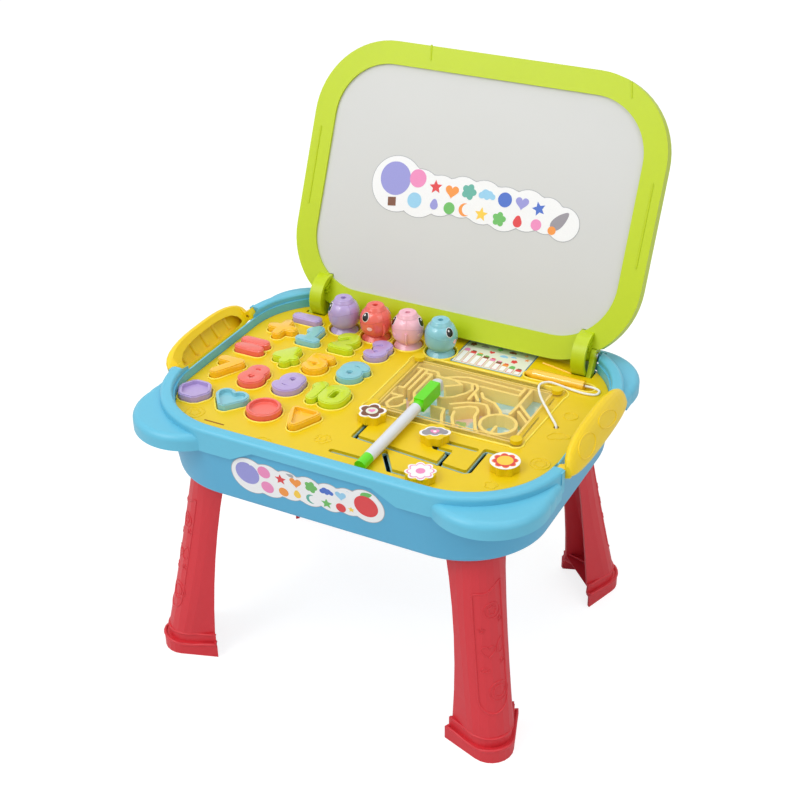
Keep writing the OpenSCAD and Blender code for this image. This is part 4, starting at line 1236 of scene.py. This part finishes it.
@dataclass
class Stickers:
    """The stickers on the board, on the tub's front and on the knobs."""

    hinge: tuple[float, float, float] = (0.0, 0.096, 0.213)
    tilt: float = 24.0
    film: Point2 = (-15.0, 2.95)
    knob_turn: float = 27.0
    knob_rise: float = 0.1
    knob_step: float = 0.07
    knobs: tuple[tuple[str, float, float, tuple[tuple[Motif, float, str], ...]], ...] = (
        ("knob_front_left", 3, -38, (
            (Motif.FLOWER, 10.4, "white"), (Motif.FLOWER, 8.6, "brown"), (Motif.DISC, 4.4, "cream"),
            (Motif.HEART, 2.6, "pink"))),
        ("knob_middle", 55, -43, (
            (Motif.CLOUD, 11.0, "white"), (Motif.CLOUD, 9.2, "grey"), (Motif.HEART, 3.2, "pink"),
            (Motif.DISC, 1.2, "white"))),
        ("knob_front", 68, -91, (
            (Motif.DAISY, 10.8, "white"), (Motif.DAISY, 9.4, "pink"), (Motif.DAISY, 8.4, "white"),
            (Motif.DISC, 3.2, "pink"))),
        ("knob_right", 113, -55, (
            (Motif.DISC, 10.4, "white"), (Motif.DAISY, 9.0, "orange"), (Motif.DAISY, 8.2, "red"),
            (Motif.DISC, 5.6, "yellow"))))

    def on_board(self, rise: float) -> Matrix:
        """Places what is drawn on the board's film.

        Args:
            rise: the height above the film's own plane, in millimetres.

        Returns:
            The matrix from the board's drawing to the table's frame.
        """
        turn = Matrix.Rotation(math.radians(90 - self.tilt), 4, "X")
        low, height = self.film
        return Matrix.Translation(self.hinge) @ turn @ Matrix.Translation((0, low * MM, (height + rise) * MM))

    def board(self) -> None:
        """Sticks the wide sticker on the drawing board."""
        sticker = Sticker("board_sticker", (
            (-64, 112, 22), (-44, 108, 19), (-26, 109, 16), (-8, 111, 16), (10, 110, 17), (28, 108, 17),
            (46, 110, 16), (62, 109, 14), (76, 105, 13)), (
            (Motif.DISC, -66, 116, 13, 0, "violet"), (Motif.SQUARE, -66, 98, 3.4, 8, "brown"),
            (Motif.DISC, -47, 119, 7, 0, "pink"), (Motif.DISC, -47, 102, 6, 0, "sky"),
            (Motif.STAR, -31, 115, 5.6, 8, "red"), (Motif.DROP, -30, 101, 5, 0, "violet"),
            (Motif.HEART, -17, 114, 5.6, 0, "orange"), (Motif.DISC, -17, 101, 4.6, 0, "green"),
            (Motif.FLOWER, -3, 116, 6.2, 0, "teal"), (Motif.MOON, -4, 102, 5, 15, "orange"),
            (Motif.CLOUD, 12, 116, 7, 0, "sky"), (Motif.STAR, 10, 101, 5.6, 0, "yellow"),
            (Motif.DISC, 27, 115, 5.6, 0, "blue"), (Motif.FLOWER, 25, 100, 5.6, 10, "green"),
            (Motif.HEART, 41, 115, 5.4, 0, "violet"), (Motif.DROP, 40, 100, 5.4, 0, "red"),
            (Motif.STAR, 55, 113, 5.6, 20, "blue"), (Motif.DISC, 55, 101, 4.2, 0, "pink"),
            (Motif.LEAF, 73, 107, 9, 50, "grey"), (Motif.DISC, 68, 99, 3.2, 0, "orange")))
        piece = join(sticker.flat(), sticker.name)
        settle(piece, self.on_board(0.02))
        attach(piece, "lid")

    def front(self) -> None:
        """Sticks the curved sticker on the tub's front wall."""
        sticker = Sticker("front_sticker", (
            (-51, 183, 15.5), (-36, 183, 14.5), (-20, 184, 13), (-4, 184, 13), (12, 184, 12.5),
            (26, 185, 12), (40, 186, 14)), (
            (Motif.DISC, -53, 185, 9.5, 0, "violet"), (Motif.DISC, -39, 190, 5, 0, "pink"),
            (Motif.DISC, -38, 177, 5, 0, "pink"), (Motif.STAR, -26, 188, 4.6, 0, "red"),
            (Motif.DISC, -25, 177, 3.8, 0, "orange"), (Motif.HEART, -14, 189, 4.6, 0, "orange"),
            (Motif.DROP, -14, 178, 4.2, 0, "yellow"), (Motif.FLOWER, -2, 189, 5, 0, "green"),
            (Motif.MOON, -3, 178, 4, 0, "teal"), (Motif.CLOUD, 10, 189, 5.4, 0, "blue"),
            (Motif.STAR, 9, 178, 4.4, 0, "green"), (Motif.HEART, 21, 189, 4.2, 0, "sky"),
            (Motif.DISC, 20, 178, 3.8, 0, "red"), (Motif.DISC, 40, 186, 9, 0, "red"),
            (Motif.LEAF, 41, 196, 4.6, 20, "green"), (Motif.STAR, 28, 179, 2.6, 0, "yellow")), cuts=3)
        skin = Skin("tub")
        toward = Vector((0, 1, 0))
        origin = Vector((0, -0.2, 0))
        across, up = Vector((1, 0, 0)), Vector((0, 0, 1))
        layers = [skin.cover(layer, origin, across, up, toward) for layer in sticker.flat()]
        piece = join(layers, sticker.name)
        with editing(piece):
            bpy.ops.mesh.normals_make_consistent(inside=False)
        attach(piece, "table")

    def knob(self, node: str, x: float, y: float, prints: Sequence[tuple[Motif, float, str]]) -> None:
        """Sticks a round picture on a knob.

        Args:
            node: the knob's node.
            x: the knob's place across, in millimetres.
            y: its place from front to back.
            prints: each layer's shape, size and ink, from the lowest up.
        """
        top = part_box(node)[1][2] / MM
        layers = []
        for i, (motif, size, ink) in enumerate(prints):
            face = top + self.knob_rise + self.knob_step * i
            layers.append(plate(motif.at(x, y, size, self.knob_turn), top - self.knob_rise, face, INKS[ink]))
        piece = join(layers, f"{node}_sticker")
        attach(piece, body_of(frame["nodes"][node])[0])

    def build(self) -> None:
        """Sticks them all on."""
        self.board()
        self.front()
        for knob in self.knobs:
            self.knob(*knob)


@dataclass
class CardPrint:
    """The picture card's print: a border, a row of boxes that step down, and small flowers and hearts."""

    left: float = 16.4
    right: float = 74.0
    low: float = 61.0
    high: float = 97.0
    top: float = 201.1
    sunk: float = 0.1
    border: float = 0.9
    top_band: float = 9.0
    margin: float = 2.2
    pitch: float = 6.0
    tallest: float = 17.5
    step: float = 1.6
    lids: tuple[str, ...] = ("pink", "red", "green", "brown", "pink", "brown", "orange", "green", "red")
    scatter: tuple[tuple[Motif, float, float, float, str], ...] = (
        (Motif.HEART, 40, 86, 2.2, "red"), (Motif.CLOUD, 51, 84, 3.4, "sky"),
        (Motif.FLOWER, 61, 80, 2.6, "red"), (Motif.STAR, 69, 86, 2.2, "orange"),
        (Motif.FLOWER, 22, 92, 2.6, "brown"),
        (Motif.CLOUD, 32, 92, 3.2, "grey"), (Motif.FLOWER, 44, 92.5, 2.4, "green"),
        (Motif.CLOUD, 55, 92, 3.2, "brown"), (Motif.STAR, 66, 92, 2.2, "sand"),
        (Motif.CLOUD, 58, 86, 2.4, "sky"))

    def printed(self, outline: Sequence[Point2], rise: float, ink: str) -> bpy.types.Object:
        """Prints one outline."""
        return plate(outline, self.top - self.sunk, self.top + rise, INKS[ink])

    def boxes(self) -> list[bpy.types.Object]:
        """Prints the row of boxes, each with its white face, its lid and a block on it."""
        made = []
        y = self.low + self.margin
        for i, lid in enumerate(self.lids):
            x = self.left + self.margin + self.pitch * i
            end = y + self.tallest - self.step * i
            block = self.lids[(i + 4) % len(self.lids)]
            made += [
                self.printed(rectangle(x, x + 4.9, y, end), 0.1, "red" if i % 2 else "sand"),
                self.printed(rectangle(x + 0.45, x + 4.45, y + 0.45, end - 0.45), 0.14, "white"),
                self.printed(rectangle(x + 0.2, x + 4.7, end, end + 3.2), 0.12, lid),
                self.printed(rectangle(x + 1.0, x + 3.9, end + 2.6, end + 4.2), 0.15, block)]
        return made

    def build(self) -> None:
        """Prints the card."""
        left, right = self.left + self.border, self.right - self.border
        low, high = self.low + self.border, self.high - self.border
        made = [self.printed(rectangle(self.left, self.right, self.low, self.high), 0.03, "slate"),
                self.printed(rectangle(left, right, low, high), 0.06, "cream"),
                self.printed(rectangle(left, right, self.high - self.top_band, high), 0.09, "sage")]
        made += self.boxes()
        made += [self.printed(motif.at(x, y, size), 0.18, ink) for motif, x, y, size, ink in self.scatter]
        piece = join(made, "card_face")
        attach(piece, "table")


@dataclass
class LidDetails:
    """Thin raised ridges down both sides of the board's frame, and two short marks on its top bar."""

    lines: tuple[tuple[Point2, Point2], ...] = (
        ((-137.6, 84), (-137.6, 146)), ((137.6, 84), (137.6, 146)), ((-54.5, 220), (-53, 208.5)),
        ((107, 214.5), (109.5, 203)))
    radius: float = 0.75
    frame_rise: float = 2.05

    def build(self) -> None:
        """Lays the ridges."""
        piece = join([tube(lifted(line, 0.0), self.radius, LIME) for line in self.lines], "lid_ridges")
        settle(piece, Stickers().on_board(self.frame_rise))
        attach(piece, "lid")


@dataclass
class LatchRelief:
    """Two leaf outlines raised on each latch's outer side."""

    leaves: tuple[tuple[float, float, float, float, float], ...] = (
        (-29, 0.0, 12.5, 7.0, 0), (8, 0.0, 14.0, 5.5, -14))
    sides: tuple[tuple[int, str, Point3], ...] = (
        (1, "latch_right", (0.83, 0, 0.55)), (-1, "latch_left", (-0.99, 0, -0.1)))
    radius: float = 0.55
    rise: float = 0.1
    ray: float = 50.0

    def build(self) -> None:
        """Lays the outlines."""
        for side, node, way in self.sides:
            skin = Skin(node)
            outward = Vector(way)
            (x0, _, z0), (x1, _, z1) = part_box(node)
            middle = Vector(((x0 + x1) / 2, 0, (z0 + z1) / 2))
            slope = Vector((0, 1, 0)).cross(outward) * (-side)
            made = []
            for y, s, long, short, turn in self.leaves:
                outline = turned(ellipse(long, short, 40), turn, (y, s))
                start = middle + outward * (self.ray * MM)
                starts = [start + Vector((0, v * MM, 0)) + slope * w * MM for v, w in outline]
                made.append(skin.bead(starts, -outward, self.radius, LATCH_YELLOW, self.rise))
            piece = join(made, f"{node}_relief")
            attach(piece, node)


@dataclass
class LegDetails:
    """Each leg's outlined panel with raised motifs on its outer side, and rounded ankle bands."""

    foot_x: float = 116.2
    foot_y: float = 91.0
    deck_y: float = -1.5
    half: float = 10.5
    low: float = 37.5
    high: float = 134.0
    motifs: tuple[tuple[Motif, float, float, float, float], ...] = (
        (Motif.DISC, 2.5, 115, 5.8, 0), (Motif.FLOWER, 2.5, 115, 3.4, 10), (Motif.STAR, -5.8, 101, 2.2, 0),
        (Motif.STAR, 8.2, 107, 2.2, 0), (Motif.HEART, -1.8, 85, 5.2, 0), (Motif.LEAF, 7.2, 88, 5.4, 80),
        (Motif.CLOUD, -5.0, 71, 3.0, 0), (Motif.STAR, 8.2, 76, 2.2, 0), (Motif.DISC, 4.5, 54, 7.2, 0),
        (Motif.DISC, 4.5, 54, 4.4, 0))
    bands: tuple[Point3, ...] = ((18.4, 0.0, 1.0), (10.2, 1.1, 1.3))
    band_half: float = 122.0
    band_steps: int = 48
    band_middle: float = 12.0
    ray: float = 60.0
    band_ray: float = 80.0
    panel_radius: float = 0.7
    motif_radius: float = 0.45
    motif_rise: float = 0.1
    legs: tuple[tuple[str, int, int], ...] = (
        ("leg_front_left", -1, -1), ("leg_front_right", 1, -1),
        ("leg_back_left", -1, 1), ("leg_back_right", 1, 1))

    def panel(self) -> list[Point2]:
        """Draws the panel: round at the foot, with a wavy slanted top."""
        half, foot = self.half, self.low + self.half
        round_foot = [math.pi * i / 14 for i in range(15)]
        arc = [(-half * math.cos(a), foot - half * math.sin(a)) for a in round_foot]
        straight = [foot + (self.high - self.low - 2 * half) * i / 20 for i in range(1, 20)]
        top = [(half * math.cos(a), self.high - 4 + 4 * math.cos(a) + 1.2 * math.sin(3 * a))
               for a in [math.pi * i / 12 for i in range(13)]]
        left = [(-half, z) for z in reversed(straight) if z < self.high - 12]
        return arc + [(half, z) for z in straight] + top + left

    def leg(self, node: str, side: int, end: int) -> None:
        """Lays one leg's beads.

        Args:
            node: the leg's node.
            side: 1 for the right, -1 for the left.
            end: 1 for the back, -1 for the front.
        """
        skin = Skin(node)
        out = Vector((side, end, 0)).normalized()
        along = Vector((-out.y, out.x, 0))
        foot = Vector((side * self.foot_x, self.deck_y + end * self.foot_y, 0)) * MM

        def starts(outline: Sequence[Point2]) -> list[Vector]:
            """Gives where the rays start for an outline on the leg's face."""
            start = foot + out * (self.ray * MM)
            return [start + along * y * MM + Vector((0, 0, z * MM)) for y, z in outline]

        made = [skin.bead(starts(self.panel()), -out, self.panel_radius, LEG_RED, 0.0)]
        for motif, y, z, size, turn in self.motifs:
            outline = motif.at(y, z, size, turn)
            made.append(skin.bead(starts(outline), -out, self.motif_radius, LEG_RED, self.motif_rise))
        for height, wave, radius in self.bands:
            ring = []
            for i in range(self.band_steps + 1):
                angle = math.radians(self.band_half * (2 * i / self.band_steps - 1))
                way = out * math.cos(angle) + along * math.sin(angle)
                z = height + wave * math.cos(3 * angle)
                middle = foot + out * (self.band_middle * MM) + Vector((0, 0, min(z, height) * MM))
                place, _ = skin.hit(middle + way * (self.band_ray * MM), -way)
                if place is not None:
                    ring.append(Vector((place.x, place.y, z * MM)) - way * 0.5 * radius * MM)
            made.append(tube(ring, radius, LEG_RED))
        piece = join(made, f"{node}_relief")
        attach(piece, body_of(frame["nodes"][node])[0])

    def build(self) -> None:
        """Dresses all four legs."""
        for leg in self.legs:
            self.leg(*leg)


@dataclass
class StampDetails:
    """Each stamp's egg-shaped head with its eyes, cheek dots, seam lines, cap ring and tail ridge."""

    first_x: float = -79.8
    pitch: float = 28.0
    y: float = 70.2
    centre_z: float = 215.5
    radius: float = 12.3
    spread: float = 76.0
    upper_fullness: float = 0.06
    lower_fullness: float = 0.1
    collar: tuple[Point2, ...] = (
        (8.3, 10.1), (8.15, 10.7), (7.6, 11.5), (7.2, 12.2), (6.9, 12.8), (6.7, 13.2), (6.35, 13.45),
        (5.9, 13.5), (2.7, 13.5), (2.3, 13.45), (2.05, 13.2), (1.95, 12.8), (1.95, 12.4))
    # Each eye is a white ring and a black oval; the small white dot over them is a painted highlight. The
    # last row is a cheek dot.
    marks: tuple[tuple[float, float, float, float, float, Finish], ...] = (
        (0, 32, 3.0, 3.8, 0.2, INKS["white"]), (0, 32, 2.6, 3.4, 0.34, BLACK),
        (4, 38, 0.6, 0.8, 0.46, INKS["white"]), (-22, -9, 2.2, 1.5, 0.22, BLUSH))
    # How much darker the seam lines are than the head: painted shade.
    seam_shade_tone: float = 0.82
    line_rise: float = -0.08
    seam_height: float = 12.0
    seam_wave: float = 7.0
    seam_radius: float = 0.22
    over_radius: float = 0.2
    ridge_radius: float = 1.05
    tails: tuple[tuple[str, float, Plastic, str], ...] = (
        ("stamp_purple", 145, PURPLE, "purple"), ("stamp_coral", -31, CORAL, "coral"),
        ("stamp_pink", -70, PINK, "pink"), ("stamp_blue", 50, LIGHT_BLUE, "light_blue"))

    def reach(self, lift: float) -> float:
        """Gives how far the head's surface is from its middle at a height angle in degrees."""
        fullness = self.upper_fullness if lift > 0 else self.lower_fullness
        return self.radius * (1 + fullness * math.sin(math.radians(2 * lift)) ** 2)

    def head(self, centre: Vector, finish: Plastic) -> bpy.types.Object:
        """Turns the egg-shaped head from its lower edge up to the cap ring.

        Args:
            centre: the head's middle, in metres.
            finish: what it is made of.

        Returns:
            The head.
        """
        profile = []
        for lift in range(-56, 56, 4):
            reach, angle = self.reach(lift), math.radians(lift)
            profile.append((reach * math.cos(angle), reach * math.sin(angle)))
        return lathe(profile, centre, finish, 64)

    def on_head(self, centre: Vector, turn: float, lift: float, rise: float) -> Vector:
        """Gives a point on the head.

        Args:
            centre: the head's middle, in metres.
            turn: its direction round the head, in degrees.
            lift: its height angle, in degrees.
            rise: how far it stands off, in millimetres.

        Returns:
            The point, in metres.
        """
        a, b = math.radians(turn), math.radians(lift)
        way = Vector((math.cos(a) * math.cos(b), math.sin(a) * math.cos(b), math.sin(b)))
        return centre + way * (self.reach(lift) + rise) * MM

    def patch(self, centre: Vector, turn: float, lift: float, wide: float, tall: float, rise: float,
              finish: Finish) -> bpy.types.Object:
        """Lays an oval on the head.

        Args:
            centre: the head's middle.
            turn: the oval's direction round the head, in degrees.
            lift: its height angle, in degrees.
            wide: half its width in millimetres.
            tall: half its height.
            rise: how far it stands off the head.
            finish: what it is made of.

        Returns:
            The oval.
        """
        def to(point: Vector) -> Vector:
            """Gives a point's place on the head."""
            across = math.degrees(point.x / (self.radius * MM)) / math.cos(math.radians(lift))
            up = math.degrees(point.y / (self.radius * MM))
            return self.on_head(centre, turn + across, lift + up, point.z / MM)
        return smooth(wrap(plate(ellipse(wide, tall, 32), 0.0, rise, finish, 2), to), 40)

    def lines(self, centre: Vector, tail: float, finish: Plastic) -> list[bpy.types.Object]:
        """Lays the wavy seam and the two lines over the head, darker as painted shade in their grooves, and
        the tail ridge.

        Args:
            centre: the head's middle, in metres.
            tail: the direction of the tail ridge, in degrees.
            finish: what the head is made of.

        Returns:
            The lines.
        """
        # The seam and the lines over the head are the head's plastic made darker: painted shade in the
        # grooves.
        line = Plastic(f"{finish.name}_line", shade(finish.colour, self.seam_shade_tone), finish.roughness)
        seam = []
        for turn in range(0, 360, 6):
            lift = self.seam_height + self.seam_wave * math.cos(math.radians(2 * (turn - tail)))
            seam.append(self.on_head(centre, turn, lift, self.line_rise))
        made = [tube(seam, self.seam_radius, line, True)]
        for turn in (tail, tail + 180):
            over = [self.on_head(centre, turn, 58 - 2.2 * k, self.line_rise) for k in range(20)]
            made.append(tube(over, self.over_radius, line))
        ridge = [self.on_head(centre, tail, 4 - 3.5 * k, 0.2 + 0.7 * math.sin(math.pi * k / 13))
                 for k in range(14)]
        return made + [tube(ridge, self.ridge_radius, finish, smooth_path=True)]

    def stamp(self, i: int, node: str, tail: float, finish: Plastic, slot: str) -> None:
        """Dresses one stamp.

        Args:
            i: its place in the row.
            node: its node.
            tail: the direction of its tail ridge, in degrees.
            finish: what it is made of.
            slot: not used.
        """
        centre = Vector((self.first_x + self.pitch * i, self.y, self.centre_z)) * MM
        made = []
        for side in (-1, 1):
            for aside, lift, wide, tall, rise, ink in self.marks:
                turn = tail + side * self.spread + side * aside
                made.append(self.patch(centre, turn, lift, wide, tall, rise, ink))
        made += self.lines(centre, tail, finish)
        made.append(lathe(self.collar, centre, finish))
        made.append(self.head(centre, finish))
        piece = join(made, f"{node}_face")
        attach(piece, body_of(frame["nodes"][node])[0])

    def build(self) -> None:
        """Dresses all four stamps."""
        for i, stamp in enumerate(self.tails):
            self.stamp(i, *stamp)


@dataclass
class Eraser:
    """The felt eraser on the marker's cap: a full soft block with rounded edges."""

    swell: float = 0.35
    round_by: float = 1.4

    def build(self) -> None:
        """Makes it on the CAD block's own mesh."""
        piece = copy_of("marker_eraser")
        with editing(piece):
            bpy.ops.mesh.bevel(offset=self.round_by * MM, segments=4, affect="EDGES")
            bpy.ops.mesh.select_all(action="SELECT")
            bpy.ops.mesh.subdivide(number_cuts=1, smoothness=0.3)
        middle = sum((point.co for point in piece.data.vertices), Vector()) / len(piece.data.vertices)
        wrap(piece, lambda p: p + (p - middle).normalized() * self.swell * MM)
        dress(piece, FELT_WHITE)
        smooth(named(piece, "eraser_felt"), 60)
        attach(piece, body_of(frame["nodes"]["marker_eraser"])[0])
        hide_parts("marker_eraser")


def main() -> None:
    """Builds the scene, one sub-assembly after another."""
    logging.basicConfig(level=logging.INFO, format="%(name)s: %(message)s")
    for part in (Studio(), PenCord(), NodeFinishes(), LoosePieces(), PanelDetails(), Stickers(), CardPrint(),
                 LidDetails(), LatchRelief(), LegDetails(), StampDetails(), Eraser()):
        part.build()
        LOG.info("built %s", type(part).__name__)


if __name__ == "__main__":
    main()
